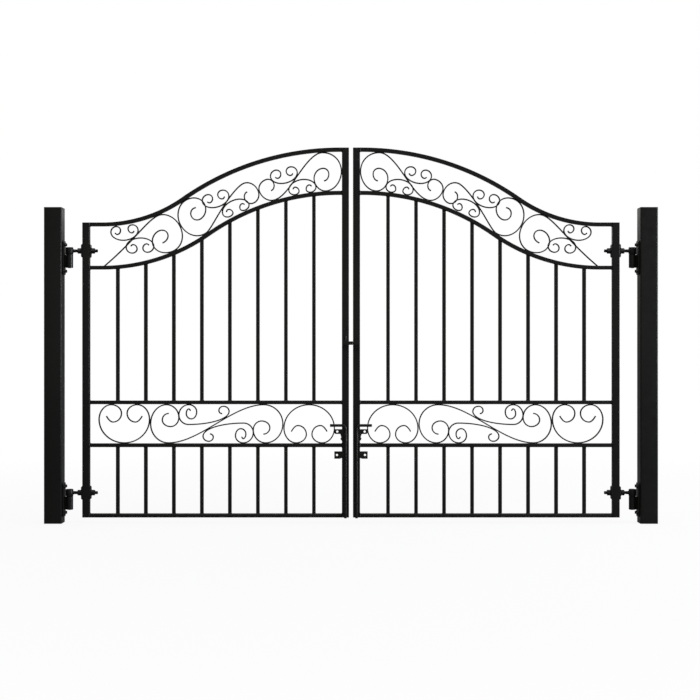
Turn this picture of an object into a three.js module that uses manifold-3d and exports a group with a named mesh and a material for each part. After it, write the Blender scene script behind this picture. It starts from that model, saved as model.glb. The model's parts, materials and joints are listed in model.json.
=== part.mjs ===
// Double-leaf driveway gate: two arched steel leaves hung between two square posts.
// Millimetres. X runs along the gate, Y through it and Z up, with the origin on the ground
// midway between the posts. The drop bolts and the slide latch are on the -Y face.
// Sides are -1 (left) and 1 (right); a leaf is drawn by its distance from its hanging stile.

import * as THREE from 'three';
import { mergeVertices } from 'three/addons/utils/BufferGeometryUtils.js';
import Module from 'manifold-3d';

const wasm = await Module();
wasm.setup();

// ---------- Driving dimensions ----------

const GAP = 0.3; // between pieces that touch
const SLACK = 0.5; // around a sliding piece
const BITE = 1; // how far a weld or a cutter runs past a face

const DRIVE_WIDTH = 3264; // between the posts
const LEAF_GAP = 22.6; // between the meeting stiles
const GROUND_CLEARANCE = 32;

const POST = { width: 100, wall: 4, corner: 8, rise: 84, cap: 3 }; // rise is above the hanging stile
const STILE = { width: 40, wall: 3, corner: 3 };
const TUBE_BORE_CORNER = 0.5; // smallest corner radius inside a tube
const RAIL = { height: 20, wall: 2 };
const BAR = { width: 20, wall: 1.5, count: 8 };

const LOWER_BAY = 378; // clear heights, from the bottom rail up
const MID_PANEL = 223;
const UPPER_BAY = 744;
const TOP_PANEL = 225;

const ARCH_RISE = 424;
const ARCH_RUN_IN = 72; // level stretch at the hanging stile
const ARCH_RUN_OUT = 12.5; // level stretch at the meeting stile
const ARCH_HOLLOW_SHARE = 0.393; // radius of the hollow arc as a share of both radii
const ARCH_STEPS = 14; // facets of each arc

const SCROLL = { thickness: 6, depth: 12 };
const CURL_STEPS = 4; // facets of a quarter turn
const SMALL_CURL_STEPS = 3;
const LINK_STEPS = 6; // facets of an S-shaped link

const HINGE = {
  postToAxis: 36,
  axisToLeaf: 75,
  aboveBottom: 139, // lower hinge, from the bottom of the leaf
  belowTop: 160, // upper hinge, from the top of the hanging stile
  pinRadius: 8,
  eyeRadius: 21,
  eyeHeight: 41,
  knuckleRadius: 20,
  knuckleHeight: 75,
  rodRadius: 9,
  rodEnd: 16, // past the inner nut
  plate: { width: 64, thickness: 8, above: 57, below: 135, corner: 10 },
  webThickness: 12,
  webInset: 2, // from each end of the knuckle
  pinBelow: 2, // the pin stands out below the knuckle
  pinSunk: 1, // and ends below the top of the eye
};
const PAD = { thickness: 7, height: 76, chamfer: 6, lip: 2 };
const NUT = { radius: 17.3, thickness: 18, washerRadius: 18.5, washerThickness: 3.5 };
const PLATE_BOLT = { radius: 9.5, head: 7, washerRadius: 11, washer: 2, sideways: 20, fromEnd: 21 };

const DROP_BOLT = {
  radius: 8,
  chamfer: 3,
  stand: 18, // stile face to the rod's centre
  bottom: 30,
  handleLevel: 554,
  earBelowHandle: 48,
  bend: 17,
  reach: 87,
  drop: 100,
  stopGap: 1, // between the lug and the guide when down
};
const EAR = { thickness: 6, reach: 63, height: 27, hole: 6.25, holeReach: 46, corner: 6 };
const COLLAR = { radius: 12, height: 43 };
const LUG = { reach: 30, notchReach: 23.5, notchRise: 24, toeReach: 29, toeRise: 14, footReach: 18 };
const GUIDE = { thickness: 5, width: 40, front: 11, lowLevel: 119 };
const LOCK_EAR = {
  reach: 63,
  height: 44,
  hole: 6.25,
  holeReach: 48,
  holeDrop: 20.5,
  notch: 12,
  rise: 2, // its underside above the guide
  shoulder: 6,
};

const LATCH = {
  rise: 326, // above the upper mid rail
  height: 20,
  depth: 12,
  length: 62,
  tip: 0.3, // short of the right stile's face
  wall: 3,
  plateThickness: 4,
  plateInset: 1, // from the stile's edges
  plateAbove: 87,
  plateBelow: 37,
  keepAbove: 35,
  keepBelow: 40,
  keepLength: 34,
  stemAt: 31,
  stemRadius: 3.2,
  stemHeight: 10,
  knobRadius: 6.5,
  knobHeight: 20,
};

// ---------- Sizes and places that follow ----------

const axisX = DRIVE_WIDTH / 2 - HINGE.postToAxis;
const leafOuter = axisX - HINGE.axisToLeaf;
const leafInner = LEAF_GAP / 2;
const railFrom = leafOuter - STILE.width;
const railTo = leafInner + STILE.width;
const clearWidth = railFrom - railTo;

const lowerMidRail = GROUND_CLEARANCE + RAIL.height + LOWER_BAY;
const upperMidRail = lowerMidRail + RAIL.height + MID_PANEL;
const archBottom = upperMidRail + RAIL.height + UPPER_BAY;
const hangingTop = archBottom + RAIL.height + TOP_PANEL + RAIL.height;
const meetingTop = hangingTop + ARCH_RISE;
const postHeight = hangingTop + POST.rise;
const hingeLevels = {
  lower: GROUND_CLEARANCE + HINGE.aboveBottom,
  upper: hangingTop - HINGE.belowTop,
};

const boltX = leafInner + STILE.width / 2;
const boltY = -STILE.width / 2 - DROP_BOLT.stand;
const earBottom = DROP_BOLT.handleLevel - DROP_BOLT.earBelowHandle;
const collarBottom = earBottom + BITE - COLLAR.height;
const guideTop = collarBottom - DROP_BOLT.drop - DROP_BOLT.stopGap;
const latchLevel = upperMidRail + RAIL.height + LATCH.rise;

// ---------- Solids ----------

/** A closed three.js geometry as a solid that can be joined and cut. */
function solidOf(geometry) {
  const bare = geometry.index ? geometry.toNonIndexed() : geometry.clone();
  bare.deleteAttribute('normal');
  bare.deleteAttribute('uv');
  const merged = mergeVertices(bare, 1e-4);
  return new wasm.Manifold(
    new wasm.Mesh({
      numProp: 3,
      vertProperties: new Float32Array(merged.attributes.position.array),
      triVerts: new Uint32Array(merged.index.array),
    }),
  );
}

function meshOf(name, solid, material) {
  const { vertProperties, triVerts } = solid.getMesh();
  const geometry = new THREE.BufferGeometry();
  geometry.setAttribute('position', new THREE.BufferAttribute(new Float32Array(vertProperties), 3));
  geometry.setIndex(new THREE.BufferAttribute(new Uint32Array(triVerts), 1));
  geometry.computeVertexNormals();
  const mesh = new THREE.Mesh(geometry, material);
  mesh.name = name;
  return mesh;
}

/** A box between two corners, which may be given in any order. */
function box([x0, y0, z0], [x1, y1, z1]) {
  const geometry = new THREE.BoxGeometry(Math.abs(x1 - x0), Math.abs(y1 - y0), Math.abs(z1 - z0));
  return solidOf(geometry.translate((x0 + x1) / 2, (y0 + y1) / 2, (z0 + z1) / 2));
}

/** A cylinder standing on Z, from one level to another. */
function upright(radius, from, to, sides, x = 0, y = 0) {
  const geometry = new THREE.CylinderGeometry(radius, radius, to - from, sides).rotateX(Math.PI / 2);
  return solidOf(geometry.translate(x, y, (from + to) / 2));
}

/** A cylinder lying along X. */
function level(radius, from, to, sides, y = 0, z = 0) {
  const geometry = new THREE.CylinderGeometry(radius, radius, Math.abs(to - from), sides);
  return solidOf(geometry.rotateZ(Math.PI / 2).translate((from + to) / 2, y, z));
}

/** A plate cut to an outline of [x, z] points, its faces at two depths along Y. */
function plate(outline, yFrom, yTo) {
  const shape = new THREE.Shape(outline.map(([x, z]) => new THREE.Vector2(x, z)));
  const geometry = new THREE.ExtrudeGeometry(shape, { depth: Math.abs(yTo - yFrom), bevelEnabled: false });
  return solidOf(geometry.rotateX(Math.PI / 2).translate(0, Math.max(yFrom, yTo), 0));
}

/** A round hole's cutter through a plate that faces Y. */
function drill(radius, x, z, yFrom, yTo) {
  const geometry = new THREE.CylinderGeometry(radius, radius, Math.abs(yTo - yFrom), 12);
  return solidOf(geometry.translate(x, (yFrom + yTo) / 2, z));
}

function roundedSquare(width, corner) {
  const half = width / 2;
  const inner = half - corner;
  const shape = new THREE.Shape();
  shape.absarc(inner, inner, corner, 0, Math.PI / 2);
  shape.absarc(-inner, inner, corner, Math.PI / 2, Math.PI);
  shape.absarc(-inner, -inner, corner, Math.PI, 1.5 * Math.PI);
  shape.absarc(inner, -inner, corner, 1.5 * Math.PI, 2 * Math.PI);
  shape.closePath();
  return shape;
}

/** A solid square bar standing on Z, with rounded corners. */
function squareBar(width, corner, from, to, x = 0) {
  const geometry = new THREE.ExtrudeGeometry(roundedSquare(width, corner), {
    depth: to - from,
    bevelEnabled: false,
    curveSegments: 2,
  });
  return solidOf(geometry.translate(x, 0, from));
}

/** A box-section tube on Z, open below and closed above by a lid. */
function squareTube({ width, wall, corner }, from, to, lid, x = 0) {
  const boreCorner = Math.max(corner - wall, TUBE_BORE_CORNER);
  const outside = squareBar(width, corner, from, to, x);
  const inside = squareBar(width - 2 * wall, boreCorner, from - BITE, to - lid, x);
  return outside.subtract(inside);
}

/** Chamfered rectangle in [x, z]. */
function chamferedOutline(x0, x1, z0, z1, chamfer) {
  return [
    [x0 + chamfer, z0],
    [x1 - chamfer, z0],
    [x1, z0 + chamfer],
    [x1, z1 - chamfer],
    [x1 - chamfer, z1],
    [x0 + chamfer, z1],
    [x0, z1 - chamfer],
    [x0, z0 + chamfer],
  ];
}

const paintedSteel = (color = 0x1b1a19, roughness = 0.45) =>
  new THREE.MeshStandardMaterial({ color, roughness, metalness: 0.1 });
const barePin = () => new THREE.MeshStandardMaterial({ color: 0x2a2a2b, roughness: 0.35, metalness: 0.6 });

// ---------- The arch: two concentric arcs between level ends ----------

const archRun = clearWidth - ARCH_RUN_IN - ARCH_RUN_OUT;
const archRadii = (archRun ** 2 + ARCH_RISE ** 2) / (2 * ARCH_RISE);
const archBend = Math.acos(1 - ARCH_RISE / archRadii);
const hollowRadius = ARCH_HOLLOW_SHARE * archRadii;
const crownRadius = archRadii - hollowRadius;
const archMiddle = archBottom + RAIL.height + TOP_PANEL / 2; // panel's centre line at the hanging stile
const hollowLength = hollowRadius * archBend;
const crownLength = crownRadius * archBend;
const archLength = ARCH_RUN_IN + hollowLength + crownLength + ARCH_RUN_OUT;

/** Distance from the hanging stile and height of a point given along and above the arch's centre line. */
function archPoint(along, above) {
  const intoHollow = along - ARCH_RUN_IN;
  const toCrownEnd = archLength - ARCH_RUN_OUT - along;
  if (intoHollow <= 0) {
    return [along, archMiddle + above];
  }
  if (toCrownEnd <= 0) {
    return [clearWidth - (archLength - along), archMiddle + ARCH_RISE + above];
  }
  if (intoHollow < hollowLength) {
    const angle = intoHollow / hollowRadius;
    const radius = hollowRadius - above;
    return [ARCH_RUN_IN + radius * Math.sin(angle), archMiddle + hollowRadius - radius * Math.cos(angle)];
  }
  const angle = toCrownEnd / crownRadius;
  const radius = crownRadius + above;
  const crownCentre = archMiddle + ARCH_RISE - crownRadius;
  return [clearWidth - ARCH_RUN_OUT - radius * Math.sin(angle), crownCentre + radius * Math.cos(angle)];
}

/** Height of a line parallel to the arch, over a distance from the hanging stile. */
function archHeight(distance, above) {
  const hollow = hollowRadius - above;
  const crown = crownRadius + above;
  const fromHollow = Math.max(distance - ARCH_RUN_IN, 0);
  const fromCrown = Math.max(clearWidth - ARCH_RUN_OUT - distance, 0);
  if (fromHollow < hollow * Math.sin(archBend)) {
    return archMiddle + hollowRadius - Math.sqrt(hollow ** 2 - fromHollow ** 2);
  }
  return archMiddle + ARCH_RISE - crownRadius + Math.sqrt(crown ** 2 - fromCrown ** 2);
}

/** Stations along the arch, with its ends moved out by a margin. */
function archStations(margin) {
  const stations = [-margin];
  for (let i = 0; i <= ARCH_STEPS; i += 1) {
    stations.push(ARCH_RUN_IN + (hollowLength * i) / ARCH_STEPS);
  }
  for (let i = 1; i <= ARCH_STEPS; i += 1) {
    stations.push(ARCH_RUN_IN + hollowLength + (crownLength * i) / ARCH_STEPS);
  }
  stations.push(archLength + margin);
  return stations;
}

const leafX = (side, distance) => side * (railFrom - distance);

/** A band of the arch between two heights above its centre line, as a plate of a given depth. */
function archBand(side, low, high, depth, margin) {
  const stations = archStations(margin);
  const under = stations.map((along) => archPoint(along, low));
  const over = stations.map((along) => archPoint(along, high)).reverse();
  const outline = [...under, ...over].map(([distance, z]) => [leafX(side, distance), z]);
  return plate(outline, -depth / 2, depth / 2);
}

// ---------- Scrollwork ----------

// A scroll is drawn through its turning points [along, above, way]. At a LEVEL point it is at the
// top or bottom of a curl, at an UPRIGHT point at its left or right, and a FREE end has no set way.
// Each drawing covers the whole panel and is stretched to the panel's true length and height.
const LEVEL = new THREE.Vector2(1, 0);
const UPRIGHT = new THREE.Vector2(0, 1);
const FREE = new THREE.Vector2(0, 0);
const ROUND = 0.5523; // handle share that makes a quarter of an ellipse
const REST = 109; // height at which a scroll rests against a rail
const TOP_SHEET = 1517;
const MID_SHEET = 1430;

/** Points of one scroll bar. A link of the same way at both ends, or from a free end, is S-shaped. */
function scrollLine(turns, [leave, arrive], steps) {
  const points = [new THREE.Vector2(turns[0][0], turns[0][1])];
  for (let i = 1; i < turns.length; i += 1) {
    const [fromAlong, fromAbove, fromWay] = turns[i - 1];
    const [toAlong, toAbove, toWay] = turns[i];
    const from = new THREE.Vector2(fromAlong, fromAbove);
    const to = new THREE.Vector2(toAlong, toAbove);
    const span = to.clone().sub(from);
    const isLink = fromWay === toWay || fromWay === FREE;
    const leaving = from.clone().addScaledVector(span.clone().multiply(fromWay), isLink ? leave : ROUND);
    const arriving = to.clone().addScaledVector(span.clone().multiply(toWay), isLink ? -arrive : -ROUND);
    const curve = new THREE.CubicBezierCurve(from, leaving, arriving, to);
    points.push(...curve.getPoints(isLink && span.length() > REST ? LINK_STEPS : steps).slice(1));
  }
  return points;
}

const largeScroll = (turns, linkShares) => scrollLine(turns, linkShares, CURL_STEPS);

/** A C scroll drawn about the middle of its back, from the end of one curl to the end of the other. */
function cScroll(half, steps) {
  const mirrored = half.slice(1).map(([along, above, way]) => [-along, above, way]);
  return scrollLine([...mirrored.reverse(), ...half], [ROUND, ROUND], steps);
}

/** A small C scroll, with its curls above (or below) its back, turned by a tilt in degrees. */
function smallScroll({ along, above, tilt = 0, below = false, reach = 84, spread = 76 }) {
  const half = [
    [0, 0, LEVEL],
    [spread, 50, UPRIGHT],
    [spread - 34, reach, LEVEL],
    [spread - 60, 60, UPRIGHT],
    [spread - 38, 36, LEVEL],
    [spread - 26, 45, FREE],
  ];
  const flip = below ? -1 : 1;
  const angle = THREE.MathUtils.degToRad(tilt);
  return cScroll(half, SMALL_CURL_STEPS).map((point) => {
    const turned = new THREE.Vector2(point.x, flip * point.y).rotateAround(new THREE.Vector2(), angle);
    return turned.add(new THREE.Vector2(along, above));
  });
}

/** A large C scroll of the mid panel. */
function heartScroll(along, flip) {
  const half = [
    [0, -REST, LEVEL],
    [143, 25, UPRIGHT],
    [74, REST, LEVEL],
    [16, 60, UPRIGHT],
    [64, 10, LEVEL],
    [101, 44, FREE],
  ];
  return cScroll(half, CURL_STEPS).map((point) => new THREE.Vector2(point.x + along, flip * point.y));
}

/** The three groups of the top panel. Bars that meet lie a nudge to each side of the shared line. */
function topScrolls(nudge) {
  const firstMeet = { along: 533.5, above: 6 };
  const secondMeet = { along: 1025, above: -36 };
  const hanging = [
    largeScroll(
      [
        [80, -REST - 6, FREE],
        [440, REST, LEVEL],
        [firstMeet.along - nudge, firstMeet.above, UPRIGHT],
        [438, -REST, LEVEL],
        [351, -35, UPRIGHT],
        [412, 27, LEVEL],
        [449, -5, UPRIGHT],
        [404, -44, LEVEL],
      ],
      [0, 0.35],
    ),
    smallScroll({ along: 206, above: 24, tilt: -2, reach: 81, spread: 84 }),
    smallScroll({ along: 288, above: 21, tilt: -10, below: true }),
  ];
  const middle = [
    largeScroll(
      [
        [664, 43, LEVEL],
        [650, 46, LEVEL],
        [615, 10, UPRIGHT],
        [652, -26, LEVEL],
        [715, 38, UPRIGHT],
        [635, REST, LEVEL],
        [firstMeet.along + nudge, firstMeet.above, UPRIGHT],
        [630, -REST, LEVEL],
        [960, 37, LEVEL],
        [secondMeet.along - nudge, secondMeet.above, UPRIGHT],
        [970, -87, LEVEL],
        [932, -50, UPRIGHT],
        [961, -15, LEVEL],
      ],
      [0.18, 0.18],
    ),
    smallScroll({ along: 774, above: -20, tilt: -12 }),
    smallScroll({ along: 862, above: -27, tilt: -3, below: true, reach: 76, spread: 84 }),
  ];
  const meeting = [
    largeScroll(
      [
        [1094, -53, LEVEL],
        [1121, -20, UPRIGHT],
        [1087, 15, LEVEL],
        [secondMeet.along + nudge, secondMeet.above, UPRIGHT],
        [1097, -REST, LEVEL],
        [1410, REST, LEVEL],
        [TOP_SHEET - nudge, 0, UPRIGHT],
        [1420, -REST, LEVEL],
        [1355, -40, UPRIGHT],
        [1410, 20, LEVEL],
        [1442, -12, UPRIGHT],
        [1412, -51, LEVEL],
      ],
      [0.38, 0.26],
    ),
    smallScroll({ along: 1189, above: -32 }),
    smallScroll({ along: 1279, above: -30, below: true, reach: 78, spread: 82 }),
  ];
  return { hanging, middle, meeting };
}

/** The long S of the mid panel with its two branches: each half is the other turned about the centre. */
function longScroll(centre, leftEnd, rightEnd) {
  const halfTurn = ([along, above, way]) => [2 * centre - along, -above, way];
  const curl = (end) => [
    [447, 59, LEVEL],
    [411, 22, UPRIGHT],
    [458, -16, LEVEL],
    [505, 36, UPRIGHT],
    [435, REST, LEVEL],
    [end, 0, UPRIGHT],
    [445, -REST, LEVEL],
  ];
  const turnedCurl = curl(2 * centre - rightEnd).map(halfTurn).reverse();
  const branch = [
    [572, 76, LEVEL],
    [562, 85, LEVEL],
    [547, 58, UPRIGHT],
    [576, 28, LEVEL],
    [606, 68, UPRIGHT],
    [562, REST, LEVEL],
    [505, 50, UPRIGHT],
    [560, -4, LEVEL],
    [790, 70, UPRIGHT],
    [758, 100, LEVEL],
    [732, 76, UPRIGHT],
    [750, 58, LEVEL],
  ];
  const even = [0.33, 0.33];
  return [
    largeScroll([...curl(leftEnd), ...turnedCurl], even),
    scrollLine(branch, even, SMALL_CURL_STEPS),
    scrollLine(branch.map(halfTurn), even, SMALL_CURL_STEPS),
  ];
}

function midScrolls(nudge) {
  const leftMeet = 341.5;
  const rightMeet = 1098;
  const longCentre = 716;
  const heartHalf = 143;
  return {
    hanging: [heartScroll(leftMeet - nudge - heartHalf, 1)],
    middle: longScroll(longCentre, leftMeet + nudge, rightMeet - nudge),
    meeting: [heartScroll(rightMeet + nudge + heartHalf, -1)],
  };
}

/** A flat bar bent along a line of [x, z] points. */
function flatBar(line) {
  const half = SCROLL.thickness / 2;
  const sides = line.map((point, i) => {
    const before = line[Math.max(i - 1, 0)];
    const after = line[Math.min(i + 1, line.length - 1)];
    const length = Math.hypot(after[0] - before[0], after[1] - before[1]);
    const across = [-(after[1] - before[1]) / length, (after[0] - before[0]) / length];
    return {
      left: [point[0] + half * across[0], point[1] + half * across[1]],
      right: [point[0] - half * across[0], point[1] - half * across[1]],
    };
  });
  const outline = [...sides.map(({ left }) => left), ...sides.map(({ right }) => right).reverse()];
  return plate(outline, -SCROLL.depth / 2, SCROLL.depth / 2);
}

/** Welds the scrolls of a group into one piece and trims it to its panel. */
function weldScrolls(lines, toPanel, panel) {
  const bars = lines.map((line) => flatBar(line.map(toPanel)));
  const welded = bars.reduce((joined, bar) => joined.add(bar));
  return welded.intersect(panel);
}

/** Stretch from a drawing to its panel, and half the space that meeting bars share. */
function fitSheet(sheetLength, panelLength, panelHeight) {
  const stretch = panelLength / sheetLength;
  const rest = panelHeight / 2 - GAP - SCROLL.thickness / 2;
  return { stretch, lift: rest / REST, nudge: (SCROLL.thickness + GAP) / 2 / stretch };
}

function addTopScrolls(leaf, name, side) {
  const { stretch, lift, nudge } = fitSheet(TOP_SHEET, archLength, TOP_PANEL);
  const inside = TOP_PANEL / 2 - GAP;
  const panel = archBand(side, -inside, inside, SCROLL.depth + 2 * BITE, -GAP);
  const toPanel = (point) => {
    const [distance, z] = archPoint(point.x * stretch, point.y * lift);
    return [leafX(side, distance), z];
  };
  for (const [place, lines] of Object.entries(topScrolls(nudge))) {
    leaf.add(meshOf(`${name}_top_scroll_${place}`, weldScrolls(lines, toPanel, panel), paintedSteel()));
  }
}

function addMidScrolls(leaf, name, side) {
  const { stretch, lift, nudge } = fitSheet(MID_SHEET, clearWidth, MID_PANEL);
  const middle = lowerMidRail + RAIL.height + MID_PANEL / 2;
  const inside = MID_PANEL / 2 - GAP;
  const panel = box(
    [leafX(side, GAP), -SCROLL.depth, middle - inside],
    [leafX(side, clearWidth - GAP), SCROLL.depth, middle + inside],
  );
  const toPanel = (point) => [leafX(side, point.x * stretch), middle + point.y * lift];
  for (const [place, lines] of Object.entries(midScrolls(nudge))) {
    leaf.add(meshOf(`${name}_mid_scroll_${place}`, weldScrolls(lines, toPanel, panel), paintedSteel()));
  }
}

// ---------- Leaf frame ----------

/** Chamfered pad on a face of the hanging stile, and the hole of the hinge rod. */
function padOutline(x0, x1, z, outward) {
  const half = PAD.height / 2;
  const edge = outward > 0 ? Math.max(x0, x1) : Math.min(x0, x1);
  const root = outward > 0 ? Math.min(x0, x1) : Math.max(x0, x1);
  return [
    [root, z - half],
    [edge - outward * (PAD.thickness - PAD.lip), z - half],
    [edge, z - half + PAD.chamfer],
    [edge, z + half - PAD.chamfer],
    [edge - outward * (PAD.thickness - PAD.lip), z + half],
    [root, z + half],
  ];
}

function hangingStile(side) {
  const centre = side * (leafOuter - STILE.width / 2);
  const half = STILE.width / 2;
  const overlap = STILE.wall / 2;
  let stile = squareTube(STILE, GROUND_CLEARANCE, hangingTop, STILE.wall, centre);
  for (const z of Object.values(hingeLevels)) {
    for (const outward of [-1, 1]) {
      const root = centre + outward * (half - overlap);
      const edge = centre + outward * (half + PAD.thickness);
      stile = stile.add(plate(padOutline(root, edge, z, outward), -half, half));
    }
    const reach = half + PAD.thickness + BITE;
    stile = stile.subtract(level(HINGE.rodRadius + GAP, centre - reach, centre + reach, 16, 0, z));
  }
  return stile;
}

function meetingStile(side) {
  return squareTube(STILE, GROUND_CLEARANCE, meetingTop, STILE.wall, side * boltX);
}

function straightRail(side, bottom) {
  const half = STILE.width / 2;
  const inner = half - RAIL.wall;
  const outside = box(
    [leafX(side, GAP), -half, bottom],
    [leafX(side, clearWidth - GAP), half, bottom + RAIL.height],
  );
  const inside = box(
    [leafX(side, -BITE), -inner, bottom + RAIL.wall],
    [leafX(side, clearWidth + BITE), inner, bottom + RAIL.height - RAIL.wall],
  );
  return outside.subtract(inside);
}

/** An arched rail whose underside is at a height above the arch's centre line. */
function archedRail(side, underside) {
  const outside = archBand(side, underside, underside + RAIL.height, STILE.width, -GAP);
  const inside = archBand(
    side,
    underside + RAIL.wall,
    underside + RAIL.height - RAIL.wall,
    STILE.width - 2 * RAIL.wall,
    BITE,
  );
  return outside.subtract(inside);
}

/** Distances of the vertical bars from the hanging stile, in equal bays. */
const barPlaces = Array.from({ length: BAR.count }, (_, i) => (clearWidth * (i + 1)) / (BAR.count + 1));

/** A rail with its vertical bars, which are open at their far ends. */
function barredRail(side, railBottom, barFrom, barTo) {
  const half = BAR.width / 2;
  const inner = half - BAR.wall;
  let comb = straightRail(side, railBottom);
  for (const place of barPlaces) {
    const x = leafX(side, place);
    const end = barTo(place);
    const away = Math.sign(end - barFrom);
    const bar = box([x - half, -half, barFrom - (away * RAIL.wall) / 2], [x + half, half, end]);
    const hollow = box([x - inner, -inner, barFrom], [x + inner, inner, end + away * BITE]);
    comb = comb.add(bar).subtract(hollow);
  }
  return comb;
}

function upperBars(side) {
  const underside = -TOP_PANEL / 2 - RAIL.height;
  const railTop = upperMidRail + RAIL.height;
  const barTop = (place) => archHeight(place, underside) + RAIL.height;
  const comb = barredRail(side, upperMidRail, railTop, barTop);
  const above = archBand(side, underside - GAP, underside + 3 * RAIL.height, STILE.width, BITE);
  return comb.subtract(above);
}

function lowerBars(side) {
  const bottom = GROUND_CLEARANCE + RAIL.height + GAP;
  return barredRail(side, lowerMidRail, lowerMidRail, () => bottom);
}

function makeLeaf(name, side) {
  const leaf = new THREE.Group();
  const add = (piece, solid) => leaf.add(meshOf(`${name}_${piece}`, solid, paintedSteel()));
  add('hanging_stile', hangingStile(side));
  add('meeting_stile', meetingStile(side));
  add('top_arched_rail', archedRail(side, TOP_PANEL / 2));
  add('second_arched_rail', archedRail(side, -TOP_PANEL / 2 - RAIL.height));
  add('upper_bars', upperBars(side));
  add('lower_bars', lowerBars(side));
  add('bottom_rail', straightRail(side, GROUND_CLEARANCE));
  addTopScrolls(leaf, name, side);
  addMidScrolls(leaf, name, side);
  return leaf;
}

// ---------- Posts ----------

function makePost(name, side) {
  const post = new THREE.Group();
  post.position.x = side * (DRIVE_WIDTH / 2 + POST.width / 2);
  const top = postHeight - POST.cap;
  post.add(meshOf(`${name}_post`, squareTube(POST, 0, top - GAP, -1), paintedSteel()));
  post.add(meshOf(`${name}_post_cap`, squareBar(POST.width, POST.corner, top, postHeight), paintedSteel()));
  return post;
}

// ---------- Hinges, drawn about the pin's axis at the level of the rod ----------

const eyeBottom = -HINGE.eyeHeight / 2;
const knuckleTop = eyeBottom - GAP;
const knuckleBottom = knuckleTop - HINGE.knuckleHeight;

/** One bolt of the bracket, its washer and hexagon head on the plate's face. */
function plateBolt(toLeaf, face, y, z) {
  const washerEnd = face + toLeaf * PLATE_BOLT.washer;
  const washer = level(PLATE_BOLT.washerRadius, face - toLeaf * BITE, washerEnd, 12, y, z);
  const headEnd = washerEnd + toLeaf * PLATE_BOLT.head;
  return washer.add(level(PLATE_BOLT.radius, washerEnd - toLeaf * BITE, headEnd, 6, y, z));
}

function hingeBracket(toLeaf) {
  const { width, thickness, above, below, corner } = HINGE.plate;
  const back = -toLeaf * (HINGE.postToAxis - GAP);
  const face = back + toLeaf * thickness;
  const outline = chamferedOutline(-width / 2, width / 2, -below, above, corner);
  const lying = solidOf(
    new THREE.ExtrudeGeometry(new THREE.Shape(outline.map(([y, z]) => new THREE.Vector2(y, z))), {
      depth: thickness,
      bevelEnabled: false,
    })
      .rotateX(Math.PI / 2)
      .rotateZ(Math.PI / 2)
      .translate(Math.min(back, face), 0, 0),
  );
  const halfWeb = HINGE.webThickness / 2;
  const web = box(
    [face - toLeaf * BITE, -halfWeb, knuckleBottom + HINGE.webInset],
    [0, halfWeb, knuckleTop - HINGE.webInset],
  );
  const knuckle = upright(HINGE.knuckleRadius, knuckleBottom, knuckleTop, 24);
  const bore = upright(HINGE.pinRadius + GAP, knuckleBottom - BITE, knuckleTop + BITE, 16);
  let bracket = lying.add(web).add(knuckle).subtract(bore);
  for (const y of [-PLATE_BOLT.sideways, PLATE_BOLT.sideways]) {
    for (const z of [PLATE_BOLT.fromEnd - below, above - PLATE_BOLT.fromEnd]) {
      bracket = bracket.add(plateBolt(toLeaf, face, y, z));
    }
  }
  return bracket;
}

function hingePin() {
  const pinTop = -eyeBottom - HINGE.pinSunk;
  return upright(HINGE.pinRadius, knuckleBottom - HINGE.pinBelow, pinTop, 16);
}

const outerNutFace = HINGE.axisToLeaf - PAD.thickness - GAP;
const innerNutFace = HINGE.axisToLeaf + STILE.width + PAD.thickness + GAP;
const nutLength = NUT.thickness + NUT.washerThickness;

function hingeEye(toLeaf) {
  const eye = upright(HINGE.eyeRadius, eyeBottom, -eyeBottom, 24);
  const rod = level(HINGE.rodRadius, 0, toLeaf * (innerNutFace + nutLength + HINGE.rodEnd), 16);
  const bore = upright(HINGE.pinRadius + GAP, eyeBottom - BITE, BITE - eyeBottom, 16);
  return eye.add(rod).subtract(bore);
}

/** A nut with its washer; away is the direction from the stile. */
function hingeNut(face, away) {
  const washerEnd = face + away * NUT.washerThickness;
  const end = face + away * nutLength;
  const washer = level(NUT.washerRadius, face, washerEnd, 16);
  const nut = level(NUT.radius, washerEnd - away * BITE, end, 6);
  return washer.add(nut).subtract(level(HINGE.rodRadius + GAP, face - away * BITE, end + away * BITE, 16));
}

function makeHinge(name, side, z) {
  const hinge = new THREE.Group();
  const toLeaf = -side;
  hinge.position.set(side * axisX, 0, z);
  hinge.add(meshOf(`${name}_bracket`, hingeBracket(toLeaf), paintedSteel()));
  hinge.add(meshOf(`${name}_pin`, hingePin(), barePin()));
  hinge.add(meshOf(`${name}_eye`, hingeEye(toLeaf), paintedSteel(0x1e1d1d)));
  hinge.add(meshOf(`${name}_outer_nut`, hingeNut(toLeaf * outerNutFace, -toLeaf), paintedSteel(0x1e1d1d)));
  hinge.add(meshOf(`${name}_inner_nut`, hingeNut(toLeaf * innerNutFace, toLeaf), paintedSteel(0x1e1d1d)));
  return hinge;
}

// ---------- Drop bolts, drawn about the rod's centre line; outward is away from the leaf gap ----------

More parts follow.
